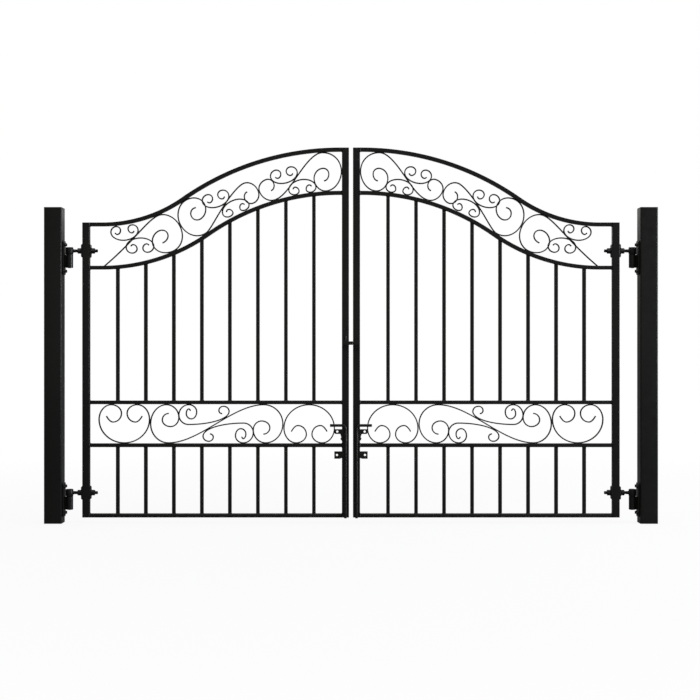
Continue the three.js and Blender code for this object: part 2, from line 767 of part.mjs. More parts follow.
function dropBoltRod(outward) {
  const { radius, chamfer, bottom, handleLevel, bend, reach } = DROP_BOLT;
  const profile = [
    [0, bottom],
    [radius - chamfer, bottom],
    [radius, bottom + chamfer],
    [radius, handleLevel - bend],
    [0, handleLevel - bend],
  ].map(([r, z]) => new THREE.Vector2(r, z));
  const shaft = solidOf(new THREE.LatheGeometry(profile, 12).rotateX(Math.PI / 2));
  const section = new THREE.Shape().absarc(0, 0, radius, 0, 2 * Math.PI);
  const route = new THREE.CurvePath();
  const start = new THREE.Vector3(0, 0, handleLevel - bend - BITE);
  const bendStart = new THREE.Vector3(0, 0, handleLevel - bend);
  const corner = new THREE.Vector3(0, 0, handleLevel);
  const bendEnd = new THREE.Vector3(outward * bend, 0, handleLevel);
  route.add(new THREE.LineCurve3(start, bendStart));
  route.add(new THREE.QuadraticBezierCurve3(bendStart, corner, bendEnd));
  route.add(new THREE.LineCurve3(bendEnd, new THREE.Vector3(outward * reach, 0, handleLevel)));
  const handle = new THREE.ExtrudeGeometry(section, {
    extrudePath: route,
    steps: 12,
    curveSegments: 6,
    bevelEnabled: false,
  });
  return shaft.add(solidOf(handle));
}

function halfCollar(outward) {
  const shape = new THREE.Shape().absarc(0, 0, COLLAR.radius, -Math.PI / 2, Math.PI / 2);
  const geometry = new THREE.ExtrudeGeometry(shape, {
    depth: COLLAR.height,
    bevelEnabled: false,
    curveSegments: 5,
  });
  return solidOf(geometry.rotateZ(outward > 0 ? 0 : Math.PI).translate(0, 0, collarBottom));
}

function dropBolt(outward) {
  const half = EAR.thickness / 2;
  const earTop = earBottom + EAR.height;
  const outline = [
    [0, collarBottom],
    [outward * LUG.footReach, collarBottom],
    [outward * LUG.toeReach, collarBottom + LUG.toeRise],
    [outward * LUG.notchReach, collarBottom + LUG.notchRise],
    [outward * LUG.reach, earBottom],
    [outward * (EAR.reach - EAR.corner), earBottom],
    [outward * EAR.reach, earBottom + EAR.corner],
    [outward * EAR.reach, earTop],
    [0, earTop],
  ];
  const holeLevel = (earBottom + earTop) / 2;
  const hole = drill(EAR.hole, outward * EAR.holeReach, holeLevel, -half - BITE, half + BITE);
  const ear = plate(outline, -half, half).subtract(hole);
  return dropBoltRod(outward).add(halfCollar(outward)).add(ear);
}

/** A guide plate on the stile's face, bored for the rod. */
function guidePlate(top) {
  const back = DROP_BOLT.stand - GAP;
  const half = GUIDE.width / 2;
  const ledge = box([-half, -GUIDE.front, top - GUIDE.thickness], [half, back, top]);
  const bore = upright(DROP_BOLT.radius + SLACK, top - GUIDE.thickness - BITE, top + BITE, 16);
  return ledge.subtract(bore);
}

/** The upper guide carries the fixed padlock ear, which lies on the stile's face. */
function upperGuide(outward) {
  const back = DROP_BOLT.stand - GAP;
  const bottom = guideTop - GUIDE.thickness;
  const top = guideTop + LOCK_EAR.height;
  const inner = -GUIDE.width / 2;
  const outline = [
    [outward * inner, bottom],
    [-outward * inner, bottom],
    [-outward * inner, guideTop + LOCK_EAR.shoulder],
    [outward * (LOCK_EAR.notch - inner), guideTop + LOCK_EAR.rise],
    [outward * LOCK_EAR.reach, guideTop + LOCK_EAR.rise],
    [outward * LOCK_EAR.reach, top],
    [outward * inner, top],
  ];
  const front = COLLAR.radius + SLACK;
  const holeLevel = top - LOCK_EAR.holeDrop;
  const hole = drill(LOCK_EAR.hole, outward * LOCK_EAR.holeReach, holeLevel, front - BITE, back + BITE);
  return plate(outline, front, back).subtract(hole).add(guidePlate(guideTop));
}

function makeDropBolt(name, side) {
  const assembly = new THREE.Group();
  assembly.position.set(side * boltX, boltY, 0);
  assembly.add(meshOf(`${name}_drop_bolt`, dropBolt(side), paintedSteel()));
  assembly.add(meshOf(`${name}_drop_bolt_upper_guide`, upperGuide(side), paintedSteel()));
  assembly.add(meshOf(`${name}_drop_bolt_lower_guide`, guidePlate(GUIDE.lowLevel), paintedSteel()));
  return assembly;
}

// ---------- Slide latch, drawn from the middle of the gap on the stiles' front faces ----------

const latchBack = -GAP - LATCH.plateThickness - GAP - SLACK;
const latchFront = latchBack - LATCH.depth;
const latchTip = leafInner - LATCH.tip;

/** A back plate with a box-section sleeve for the bolt. */
function latchSleeve(from, to, below, above, sleeveFrom, sleeveTo) {
  const half = LATCH.height / 2 + SLACK;
  const backPlate = box([from, -GAP, -below], [to, -GAP - LATCH.plateThickness, above]);
  const sleeve = box(
    [sleeveFrom, -GAP - LATCH.plateThickness / 2, -half - LATCH.wall],
    [sleeveTo, latchFront - SLACK - LATCH.wall, half + LATCH.wall],
  );
  const bore = box(
    [sleeveFrom - BITE, latchBack + SLACK, -half],
    [sleeveTo + BITE, latchFront - SLACK, half],
  );
  return backPlate.add(sleeve).subtract(bore);
}

function latchHousing() {
  const from = LATCH.plateInset - railTo;
  const to = -leafInner - LATCH.plateInset;
  const middle = (latchBack + latchFront) / 2;
  const slotHalf = LATCH.stemRadius + SLACK;
  const slot = box([from - BITE, middle - slotHalf, 0], [to + BITE, middle + slotHalf, LATCH.height]);
  return latchSleeve(from, to, LATCH.plateBelow, LATCH.plateAbove, from, to).subtract(slot);
}

function latchKeep() {
  const from = leafInner + LATCH.plateInset;
  const to = railTo - LATCH.plateInset;
  return latchSleeve(from, to, LATCH.keepBelow, LATCH.keepAbove, from, from + LATCH.keepLength);
}

function latchBolt() {
  const half = LATCH.height / 2;
  const middle = (latchBack + latchFront) / 2;
  const bar = box([latchTip - LATCH.length, latchBack, -half], [latchTip, latchFront, half]);
  const knobBottom = half + LATCH.stemHeight;
  const stem = upright(LATCH.stemRadius, half - BITE, knobBottom + BITE, 12, -LATCH.stemAt, middle);
  const knobTop = knobBottom + LATCH.knobHeight;
  const knob = upright(LATCH.knobRadius, knobBottom, knobTop, 16, -LATCH.stemAt, middle);
  return bar.add(stem).add(knob);
}

function makeLatch() {
  const latch = new THREE.Group();
  latch.position.set(0, -STILE.width / 2, latchLevel);
  latch.add(meshOf('latch_housing', latchHousing(), paintedSteel()));
  latch.add(meshOf('latch_bolt', latchBolt(), paintedSteel(0x222223)));
  latch.add(meshOf('latch_keep', latchKeep(), paintedSteel()));
  return latch;
}

// ---------- The whole gate ----------

const gate = new THREE.Group();
for (const [name, side] of [['left', -1], ['right', 1]]) {
  gate.add(makePost(name, side));
  for (const [place, z] of Object.entries(hingeLevels)) {
    gate.add(makeHinge(`${name}_${place}_hinge`, side, z));
  }
  gate.add(makeLeaf(`${name}_leaf`, side));
  gate.add(makeDropBolt(name, side));
}
gate.add(makeLatch());

export default gate;
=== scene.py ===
"""Looks of the double-leaf driveway gate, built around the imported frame.

Shapes are drawn in millimetres in the row frame and stored in metres. Z is up and -Y is the side
with the latch and the drop bolts. A side is -1 (left) or 1 (right).
"""
import json
from math import acos, atan2, cos, hypot, pi, radians, sin, sqrt, tan

import bmesh
import bpy
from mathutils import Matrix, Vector
from mathutils.geometry import interpolate_bezier


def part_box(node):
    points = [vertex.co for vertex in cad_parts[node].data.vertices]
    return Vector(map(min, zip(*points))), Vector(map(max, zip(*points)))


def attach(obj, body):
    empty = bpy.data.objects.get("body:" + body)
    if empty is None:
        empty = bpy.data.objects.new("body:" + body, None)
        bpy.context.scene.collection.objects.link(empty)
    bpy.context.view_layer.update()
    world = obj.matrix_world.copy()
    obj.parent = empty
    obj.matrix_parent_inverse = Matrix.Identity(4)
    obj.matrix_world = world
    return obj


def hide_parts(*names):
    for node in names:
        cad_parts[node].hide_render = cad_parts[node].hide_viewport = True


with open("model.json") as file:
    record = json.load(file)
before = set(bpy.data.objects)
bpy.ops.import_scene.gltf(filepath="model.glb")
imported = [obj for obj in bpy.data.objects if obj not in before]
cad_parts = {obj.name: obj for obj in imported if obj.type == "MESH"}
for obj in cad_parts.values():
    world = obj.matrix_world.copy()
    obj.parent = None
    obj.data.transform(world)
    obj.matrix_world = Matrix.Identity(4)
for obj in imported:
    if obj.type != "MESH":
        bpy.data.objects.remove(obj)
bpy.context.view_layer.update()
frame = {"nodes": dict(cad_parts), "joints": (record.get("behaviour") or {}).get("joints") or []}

MM = 0.001

# ---------- Sizes, in millimetres ----------

GAP = 0.3
SEAT = 0.2  # how far a welded end runs into what it is welded to
FLUSH = 0.3  # how far a weld that is ground off still stands out
CAP = 3.0
POST_CORNER = 8.0
STILE = 40.0
STILE_CORNER = 3.0
RAIL = 20.0
RAIL_CORNER = 1.6
BAR = 20.0
BAR_CORNER = 1.5
BARS = 8
PANEL = 225.0
MID_PANEL = 223.0
SCROLL_THICK = 6.0
SCROLL_COATED = 7.0  # as seen, with its coat
SCROLL_DEPTH = 12.0
PAD = 7.0
PAD_HALF = 38.0
PAD_SLOPE = 6.0
PAD_LIP = 2.0


def mm_box(node):
    """Lowest and highest corners of a CAD node, in millimetres."""
    low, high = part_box(node)
    return low / MM, high / MM


post_low, post_high = mm_box("right_post_cap")
POST = post_high.x - post_low.x
POST_X = (post_high.x + post_low.x) / 2
POST_TOP = post_high.z
_, meeting_high = mm_box("right_leaf_meeting_stile")
MEETING_X = meeting_high.x - STILE / 2
MEETING_TOP = meeting_high.z
rail_low, rail_high = mm_box("right_leaf_bottom_rail")
CLEARANCE = rail_low.z
RAIL_FROM = rail_high.x + GAP
RAIL_TO = rail_low.x - GAP
CLEAR = RAIL_FROM - RAIL_TO
HANGING_X = RAIL_FROM + STILE / 2
HANGING_TOP = mm_box("right_leaf_hanging_stile")[1].z
LOWER_MID = mm_box("right_leaf_lower_bars")[1].z - RAIL
UPPER_MID = mm_box("right_leaf_upper_bars")[0].z
HINGE_X = frame["joints"][1]["pos_m"][0] / MM
HINGE_LEVELS = {
    place: sum(c.z for c in mm_box(f"right_{place}_hinge_outer_nut")) / 2 for place in ("lower", "upper")
}

# ---------- Sections: [u, v] outlines drawn in by an inset ----------

LEAST_CORNER = 0.15
NUT_CONE = 2.2  # how fast a hexagon's corners are cut as it is drawn in
CORNER_PULL = 0.55  # how far a curve's handles reach toward the corner it rounds
LEAST_SPREAD = 0.25  # keeps the inset of a very sharp corner within reach


def rectangle(width, height, corner, steps=4):
    """A section that is a rounded rectangle."""

    def section(inset=0.0):
        radius = max(corner - inset, LEAST_CORNER)
        half_w, half_h = width / 2 - inset - radius, height / 2 - inset - radius
        points = []
        for su, sv, start in ((1, 1, 0), (-1, 1, 90), (-1, -1, 180), (1, -1, 270)):
            for k in range(steps + 1):
                a = radians(start + 90 * k / steps)
                points.append((su * half_w + radius * cos(a), sv * half_h + radius * sin(a)))
        return points

    return section


def circle(radius, steps=32):
    """A round section."""
    angles = [2 * pi * k / steps for k in range(steps)]

    def section(inset=0.0):
        r = radius - inset
        return [(r * cos(a), r * sin(a)) for a in angles]

    return section


def hexagon(corner_radius, steps=48):
    """A hexagon whose corners are cut by a cone as it is drawn in, like a nut's."""
    flat = corner_radius * cos(pi / 6)

    def section(inset=0.0):
        limit = corner_radius - NUT_CONE * inset
        points = []
        for k in range(steps):
            a = 2 * pi * k / steps
            r = flat / cos((a + pi / 6) % (pi / 3) - pi / 6)
            r = min(r, limit)
            points.append((r * cos(a), r * sin(a)))
        return points

    return section


def round_over(length, radius, steps=3):
    """Stations along a bar with the section's inset there, so that both ends are rounded over."""
    ends = []
    for k in range(steps, -1, -1):
        a = pi / 2 * k / steps
        ends.append((radius * (1 - sin(a)), radius * (1 - cos(a))))
    return ends + [(length - along, inset) for along, inset in reversed(ends)]


def way_round(points):
    """1 for an outline that runs anticlockwise and -1 for one that runs clockwise."""
    area = sum(a[0] * b[1] - b[0] * a[1] for a, b in zip(points, points[1:] + points[:1]))
    return 1 if area > 0 else -1


def inset_polygon(points, distance):
    """A polygon with every side moved in by a distance."""
    turn, moved = way_round(points), []
    for i, p in enumerate(points):
        before, after = points[i - 1], points[(i + 1) % len(points)]
        e1 = Vector((p[0] - before[0], p[1] - before[1])).normalized()
        e2 = Vector((after[0] - p[0], after[1] - p[1])).normalized()
        n1, n2 = Vector((-e1.y, e1.x)) * turn, Vector((-e2.y, e2.x)) * turn
        both = n1 + n2
        scale = distance / max(LEAST_SPREAD, 1 + n1.dot(n2))
        moved.append((p[0] + both.x * scale, p[1] + both.y * scale))
    return moved


def rounded_polygon(points, radii, steps=5):
    """A polygon with its corners rounded, one radius for each corner or one for all."""
    if not hasattr(radii, "__len__"):
        radii = [radii] * len(points)
    out = []
    for i, p in enumerate(points):
        corner = Vector(p)
        to_before = (Vector(points[i - 1]) - corner).normalized()
        to_after = (Vector(points[(i + 1) % len(points)]) - corner).normalized()
        if radii[i] <= 0:
            out.append(tuple(corner))
            continue
        half = to_before.angle(to_after) / 2
        reach = radii[i] / tan(half)
        a, b = corner + to_before * reach, corner + to_after * reach
        handles = a.lerp(corner, CORNER_PULL), b.lerp(corner, CORNER_PULL)
        out.extend(tuple(q) for q in interpolate_bezier(a, *handles, b, steps + 1))
    return out


# ---------- Shapes ----------

WELD_STEP = 1.3
WELD_ROOT = 0.6
WELD_TOE = 0.15
WELD_FACE = ((0.72, 0.42), (0.42, 0.72))  # shares of the size, out along the seat and away from it
WELD_RIPPLES = ((0.13, 2.1, 0.0), (0.07, 0.37, 1.0))  # share of the size, radians per millimetre, phase
TACK_STATIONS, TACK_STEPS = 12, 10
TACK_RIPPLE = (0.08, 7, 1)
TACK_BLUNT = 0.98  # how far the ends of a tack close
THREAD_STATIONS = 5  # along each turn of a thread
THREAD_SLOPE, THREAD_CREST = 2.6, 0.15
HOLE_STEPS = 48
HOLE_EDGE = 0.5
SHARP_EDGE = 38  # degrees


class Shape:
    """Closed shells gathered into one mesh."""

    def __init__(self):
        self.points = []
        self.faces = []

    def loft(self, rings, closed=False):
        """Joins rings of equal count, and caps the ends unless the last ring joins the first."""
        start, n, count = len(self.points), len(rings[0]), len(rings)
        for ring in rings:
            self.points.extend(Vector(p) for p in ring)
        for i in range(count if closed else count - 1):
            a, b = start + i * n, start + (i + 1) % count * n
            for k in range(n):
                m = (k + 1) % n
                self.faces.append((a + k, a + m, b + m, b + k))
        if not closed:
            self.faces.append(tuple(start + k for k in reversed(range(n))))
            self.faces.append(tuple(start + (count - 1) * n + k for k in range(n)))
        return self

    def across(self, stations, origin, axis, u, closed=False):
        """Joins outlines that lie across an axis, each at its distance along it."""
        origin, w, u = Vector(origin), Vector(axis).normalized(), Vector(u)
        v = w.cross(u)
        rings = [[origin + w * along + u * a + v * b for a, b in ring] for ring, along in stations]
        return self.loft(rings, closed)

    def bar(self, section, start, end, over=0.5):
        """A straight bar in the XZ plane with rounded-over ends. Its section's v axis is Y."""
        run = Vector(end) - Vector(start)
        stations = [(section(inset), along) for along, inset in round_over(run.length, over)]
        return self.across(stations, start, run, Vector((0, 1, 0)).cross(run.normalized()))

    def sweep(self, section, path, over=0.0):
        """A section bent along a path in the XZ plane. Its v axis is Y."""
        path = [Vector(p) for p in path]
        v = Vector((0, 1, 0))
        stations = []
        for i, p in enumerate(path):
            tangent = (path[min(i + 1, len(path) - 1)] - path[max(i - 1, 0)]).normalized()
            stations.append((p, tangent, 0.0))
        if over:
            rounded = round_over(2 * over, over)
            rounded = rounded[:len(rounded) // 2 - 1]
            (first, ahead, _), (last, behind, _) = stations[0], stations[-1]
            head = [(first + ahead * (along - over), ahead, inset) for along, inset in rounded]
            tail = [(last - behind * (along - over), behind, inset) for along, inset in rounded]
            stations = head + stations + tail[::-1]
        rings = []
        for p, tangent, inset in stations:
            u = v.cross(tangent)
            rings.append([p + u * a + v * b for a, b in section(inset)])
        return self.loft(rings)

    def turned(self, profile, origin, axis, bored=False, steps=40):
        """A turned part from [radius, along] points. A bored one joins its last point to its first."""
        stations = [(circle(radius, steps)(), along) for radius, along in profile]
        return self.across(stations, origin, axis, Vector(axis).orthogonal().normalized(), bored)

    def nut(self, corner_radius, bore, origin, axis, thickness, steps=48):
        """A hexagon nut with chamfered corners and a bore."""
        outer, inner = hexagon(corner_radius, steps), circle(bore, steps)
        stations = [(outer(1.5), 0), (outer(0.7), 0.6), (outer(0), 1.6)]
        stations += [(ring, thickness - along) for ring, along in reversed(stations)]
        stations += [(inner(-0.8), thickness), (inner(), thickness - 0.8), (inner(), 0.8), (inner(-0.8), 0)]
        return self.across(stations, origin, axis, (0, 0, 1), closed=True)

    def thread(self, radius, origin, axis, start, end, pitch, depth, steps=24):
        """A rod with a screw thread cut between two distances along it."""
        count = int((end - start) / pitch * THREAD_STATIONS)
        stations = []
        for i in range(count + 1):
            along = start + (end - start) * i / count
            fade = min(1.0, (along - start) / pitch, (end - along) / pitch)
            ring = []
            for k in range(steps):
                a = 2 * pi * k / steps
                phase = (along / pitch - k / steps) % 1.0
                cut = depth * max(0.0, min(1.0, THREAD_SLOPE * abs(phase - 0.5) - THREAD_CREST))
                r = radius - depth * (1 - fade) - cut * fade
                ring.append((r * cos(a), r * sin(a)))
            stations.append((ring, along))
        return self.across(stations, origin, axis, (0, 0, 1))

    def slab(self, outline, place, thickness, over=0.6):
        """A plate cut to an outline. place(a, b, depth) puts a point of it in space."""
        rings = []
        for depth, inset in round_over(thickness, over, 2):
            rings.append([place(a, b, depth) for a, b in inset_polygon(outline, inset)])
        return self.loft(rings)

    def holed_slab(self, outline, hole, radius, place, thickness, over=0.6):
        """A plate with one round hole, which sees the whole outline."""
        angles = [2 * pi * k / HOLE_STEPS for k in range(HOLE_STEPS)]
        angles += [atan2(b - hole[1], a - hole[0]) % (2 * pi) for a, b in outline]
        angles = sorted(set(round(a, 5) for a in angles))

        def seen(points):
            ring = []
            for angle in angles:
                ray = Vector((cos(angle), sin(angle)))
                best = None
                for p, q in zip(points, points[1:] + points[:1]):
                    edge = Vector((q[0] - p[0], q[1] - p[1]))
                    to = Vector((p[0] - hole[0], p[1] - hole[1]))
                    cross = ray.x * edge.y - ray.y * edge.x
                    if abs(cross) < 1e-9:
                        continue
                    t = (to.x * edge.y - to.y * edge.x) / cross
                    s = (to.x * ray.y - to.y * ray.x) / cross
                    if t > 0 and -1e-4 <= s <= 1.0001:
                        best = t if best is None else min(best, t)
                ring.append((hole[0] + ray.x * best, hole[1] + ray.y * best))
            return ring

        def round_hole(wider):
            r = radius + wider
            return [(hole[0] + r * cos(a), hole[1] + r * sin(a)) for a in angles]

        rounded = round_over(thickness, over, 2)
        rings = [(seen(inset_polygon(outline, inset)), depth) for depth, inset in rounded]
        rings += [(round_hole(HOLE_EDGE), thickness), (round_hole(0), thickness - HOLE_EDGE)]
        rings += [(round_hole(0), HOLE_EDGE), (round_hole(HOLE_EDGE), 0)]
        return self.loft([[place(a, b, depth) for a, b in ring] for ring, depth in rings], closed=True)

    def weld(self, outline, seat, away, size=2.6):
        """A fillet of weld round an outline. seat(a, b) is on the face it joins and away leads off it."""
        away = Vector(away)
        fine = []
        for p, q in zip(outline, outline[1:] + outline[:1]):
            length = hypot(q[0] - p[0], q[1] - p[1])
            count = max(1, round(length / WELD_STEP))
            for k in range(count):
                fine.append((p[0] + (q[0] - p[0]) * k / count, p[1] + (q[1] - p[1]) * k / count))
        turn, rings, run = way_round(fine), [], 0.0
        for i, p in enumerate(fine):
            before, after = fine[i - 1], fine[(i + 1) % len(fine)]
            edge = Vector((after[0] - before[0], after[1] - before[1])).normalized() * turn
            run += hypot(p[0] - before[0], p[1] - before[1])
            foot = seat(p[0], p[1])
            out = (seat(p[0] + edge.y, p[1] - edge.x) - foot).normalized()
            s = size * (1 + sum(share * sin(run * rate + phase) for share, rate, phase in WELD_RIPPLES))
            root = foot - out * WELD_ROOT - away * WELD_ROOT
            face = [foot + out * s * a + away * s * b for a, b in WELD_FACE]
            rings.append([root, foot + out * s - away * WELD_TOE, *face, foot + away * s - out * WELD_TOE])
        return self.loft(rings, closed=True)

    def tack(self, centre, along, out, size=2.4, length=9.0):
        """A short weld run lying along a line, with ripples and rounded ends."""
        share, rate, phase = TACK_RIPPLE
        stations = []
        for i in range(TACK_STATIONS + 1):
            t = 2 * i / TACK_STATIONS - 1
            r = size * sqrt(1 - t * t * TACK_BLUNT) * (1 + share * sin(rate * t + phase))
            stations.append((circle(r, TACK_STEPS)(), t * length / 2))
        return self.across(stations, centre, along, out)

    def piece(self, name, body, finish, nodes=(), smooth=SHARP_EDGE):
        """Makes the object and hangs it on its body."""
        mesh = bpy.data.meshes.new(name)
        mesh.from_pydata([p * MM for p in self.points], [], self.faces)
        return place_piece(name, mesh, body, finish, nodes, smooth)


def new_object(name, data):
    obj = bpy.data.objects.new(name, data)
    bpy.context.scene.collection.objects.link(obj)
    return obj


def place_piece(name, mesh, body, finish, nodes=(), smooth=SHARP_EDGE):
    """Makes an object of a mesh, rides it on its body and hides the CAD nodes it stands for."""
    work = bmesh.new()
    work.from_mesh(mesh)
    bmesh.ops.recalc_face_normals(work, faces=work.faces)
    work.to_mesh(mesh)
    work.free()
    mesh.polygons.foreach_set("use_smooth", [True] * len(mesh.polygons))
    mesh.set_sharp_from_angle(angle=radians(smooth))
    material, slot = finish
    mesh.materials.append(material)
    obj = new_object(name, mesh)
    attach(obj, body)
    if nodes:
        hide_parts(*nodes)
    return obj


SAME_PLACE = 1e-6
FLAT, CORNERED = radians(1), radians(40)


def refined(node, name, body, finish, width=0.5):
    """A copy of a CAD node with its flat faces made whole and its edges rounded over."""
    mesh = frame["nodes"][node].data.copy()
    mesh.materials.clear()
    if mesh.has_custom_normals:
        mesh.attributes.remove(mesh.attributes["custom_normal"])
    work = bmesh.new()
    work.from_mesh(mesh)
    bmesh.ops.remove_doubles(work, verts=work.verts, dist=SAME_PLACE)
    bmesh.ops.dissolve_limit(work, angle_limit=FLAT, verts=work.verts, edges=work.edges)
    edges = [e for e in work.edges if len(e.link_faces) == 2 and e.calc_face_angle(0) > CORNERED]
    bmesh.ops.bevel(
        work, geom=edges, offset=width * MM, offset_type="OFFSET", segments=2, profile=0.5,
        affect="EDGES", clamp_overlap=True,
    )
    work.to_mesh(mesh)
    work.free()
    mesh.name = name
    return place_piece(name, mesh, body, finish, (node,))


# ---------- Materials ----------

SPECULAR = 0.42
DUST = (0.030, 0.028, 0.025)
GRIME = (0.024, 0.021, 0.017)
BARE_STEEL = (0.16, 0.155, 0.15)
LEDGE = (0.55, 0.95)  # how far a normal points up where dust starts to lie, and where it lies fully
SPLASH_HEIGHT, SPLASH_SHARE = 0.22, 0.42
SHEEN_RANGE = (-0.05, 0.07)  # either side of the roughness
DUST_DULLS = 0.4
PEEL_DEPTH, WAVE_DEPTH, SCRATCH_DEPTH = 0.0003, 0.0008, 0.0002
WAVE_STRENGTH = 0.06
SCRATCH_STRETCH = (12.0, 900.0, 900.0)


def tree_of(owner):
    """The nodes and links of a material or a world."""
    owner.use_nodes = True
    return owner.node_tree.nodes, owner.node_tree.links


def put(node, values):
    """Sets a node's inputs by name."""
    for name, value in values.items():
        node.inputs[name].default_value = value


def noise(nodes, links, coords, scale, detail=3.0, rough=0.5):
    """A noise texture; its scale is in waves per metre."""
    tex = nodes.new("ShaderNodeTexNoise")
    put(tex, {"Scale": scale, "Detail": detail, "Roughness": rough})
    links.new(coords, tex.inputs["Vector"])
    return tex.outputs["Fac"]


def remap(nodes, links, value, low, high, to_low, to_high):
    """Takes low to to_low and high to to_high, and holds beyond them."""
    ramp = nodes.new("ShaderNodeMapRange")
    put(ramp, {"From Min": low, "From Max": high, "To Min": to_low, "To Max": to_high})
    links.new(value, ramp.inputs["Value"])
    return ramp.outputs["Result"]


def mix_colours(nodes, links, factor, first, second):
    """Mixes two colours, each a socket or three numbers."""
    mix = nodes.new("ShaderNodeMix")
    mix.data_type = "RGBA"
    links.new(factor, mix.inputs[0])
    for socket, colour in ((mix.inputs[6], first), (mix.inputs[7], second)):
        if hasattr(colour, "links"):
            links.new(colour, socket)
        else:
            socket.default_value = (*colour, 1)
    return mix.outputs[2]


def combine(nodes, links, operation, a, b):
    """A maths node; b is a socket or a number."""
    node = nodes.new("ShaderNodeMath")
    node.operation = operation
    node.use_clamp = operation == "MULTIPLY"
    links.new(a, node.inputs[0])
    if hasattr(b, "links"):
        links.new(b, node.inputs[1])
    else:
        node.inputs[1].default_value = b
    return node.outputs[0]


def bump(nodes, links, height, strength, depth, under=None):
    """Raises a surface by a height, on top of another bump's normal."""
    node = nodes.new("ShaderNodeBump")
    put(node, {"Strength": strength, "Distance": depth})
    links.new(height, node.inputs["Height"])
    if under:
        links.new(under, node.inputs["Normal"])
    return node.outputs["Normal"]


def painted_steel(slot, name, dark, light, roughness, peel, metallic=0.0, worn=0.0, scratched=0.0):
    """A material and its slot: coated steel with orange peel, patches of sheen, dust on ledges and
    grime near the ground. Worn is the share of bare steel that shows.
    """
    material = bpy.data.materials.new(name)
    nodes, links = tree_of(material)
    shader = nodes["Principled BSDF"]
    put(shader, {"Metallic": metallic, "Specular IOR Level": SPECULAR})
    coords = nodes.new("ShaderNodeTexCoord").outputs["Object"]
    geometry = nodes.new("ShaderNodeNewGeometry")
    facing = nodes.new("ShaderNodeSeparateXYZ")
    links.new(geometry.outputs["Normal"], facing.inputs[0])
    height = nodes.new("ShaderNodeSeparateXYZ")
    links.new(coords, height.inputs[0])

    patches = remap(nodes, links, noise(nodes, links, coords, 7.0, 4.0), 0.35, 0.68, 0.0, 1.0)
    colour = mix_colours(nodes, links, patches, dark, light)
    # dust that settles on ledges
    ledge = remap(nodes, links, facing.outputs["Z"], *LEDGE, 0.0, 1.0)
    specks = remap(nodes, links, noise(nodes, links, coords, 160.0, 6.0, 0.7), 0.42, 0.72, 0.05, 0.5)
    dust = combine(nodes, links, "MULTIPLY", ledge, specks)
    colour = mix_colours(nodes, links, dust, colour, DUST)
    # splashes near the ground
    low = remap(nodes, links, height.outputs["Z"], 0.0, SPLASH_HEIGHT, SPLASH_SHARE, 0.0)
    splash = remap(nodes, links, noise(nodes, links, coords, 55.0, 5.0, 0.65), 0.5, 0.68, 0.0, 1.0)
    grime = combine(nodes, links, "MULTIPLY", low, splash)
    colour = mix_colours(nodes, links, grime, colour, GRIME)
    if worn:
        rubbed = remap(nodes, links, noise(nodes, links, coords, 240.0, 5.0, 0.7), 0.56, 0.66, 0.0, worn)
        colour = mix_colours(nodes, links, rubbed, colour, BARE_STEEL)
    links.new(colour, shader.inputs["Base Color"])

    least, most = (roughness + change for change in SHEEN_RANGE)
    sheen = remap(nodes, links, noise(nodes, links, coords, 22.0, 5.0, 0.6), 0.3, 0.7, least, most)
    dull = combine(nodes, links, "ADD", sheen, combine(nodes, links, "MULTIPLY", dust, DUST_DULLS))
    links.new(dull, shader.inputs["Roughness"])

    normal = bump(nodes, links, noise(nodes, links, coords, 620.0, 2.0, 0.45), peel, PEEL_DEPTH)
    normal = bump(nodes, links, noise(nodes, links, coords, 60.0, 2.0), WAVE_STRENGTH, WAVE_DEPTH, normal)
    if scratched:
        stretch = nodes.new("ShaderNodeMapping")
        put(stretch, {"Scale": SCRATCH_STRETCH})
        links.new(coords, stretch.inputs["Vector"])
        lines = noise(nodes, links, stretch.outputs["Vector"], 1.0, 3.0)
        normal = bump(nodes, links, lines, scratched, SCRATCH_DEPTH, normal)
    links.new(normal, shader.inputs["Normal"])
    return material, slot


COAT = painted_steel(
    "powder_coat", "black_powder_coat", (0.0058, 0.0055, 0.0050), (0.0074, 0.0070, 0.0064),
    roughness=0.36, peel=0.08,
)
FITTING = painted_steel(
    "hinge_fittings", "painted_fittings", (0.0055, 0.0055, 0.0057), (0.0085, 0.0083, 0.0083),
    roughness=0.42, peel=0.08, metallic=0.1, worn=0.05,
)
WELD = painted_steel(
    "powder_coat", "painted_weld", (0.0052, 0.0050, 0.0046), (0.0075, 0.0071, 0.0066),
    roughness=0.44, peel=0.35,
)
PIN_STEEL = painted_steel(
    "hinge_pin", "oiled_pin", (0.030, 0.030, 0.031), (0.055, 0.054, 0.054),
    roughness=0.30, peel=0.05, metallic=0.85, worn=0.2,
)
SLIDE = painted_steel(
    "latch_bolt", "rubbed_bolt", (0.010, 0.010, 0.0102), (0.019, 0.0188, 0.019),
    roughness=0.33, peel=0.06, metallic=0.2, worn=0.35, scratched=0.3,
)

# ---------- The arch: a level run, a hollow arc, a crown arc and a level run ----------

HOLLOW_SHARE = 0.393  # of both radii together
RUN_IN, RUN_OUT = 72.0, 12.5
ARCH_STEPS, RUN_STEPS = 120, 4
RISE = MEETING_TOP - HANGING_TOP
run = CLEAR - RUN_IN - RUN_OUT
radii = (run**2 + RISE**2) / (2 * RISE)
bend = acos(1 - RISE / radii)
hollow_radius = HOLLOW_SHARE * radii
crown_radius = radii - hollow_radius
ARCH_MID = HANGING_TOP - RAIL - PANEL / 2
hollow_length, crown_length = hollow_radius * bend, crown_radius * bend
ARCH_LENGTH = RUN_IN + hollow_length + crown_length + RUN_OUT


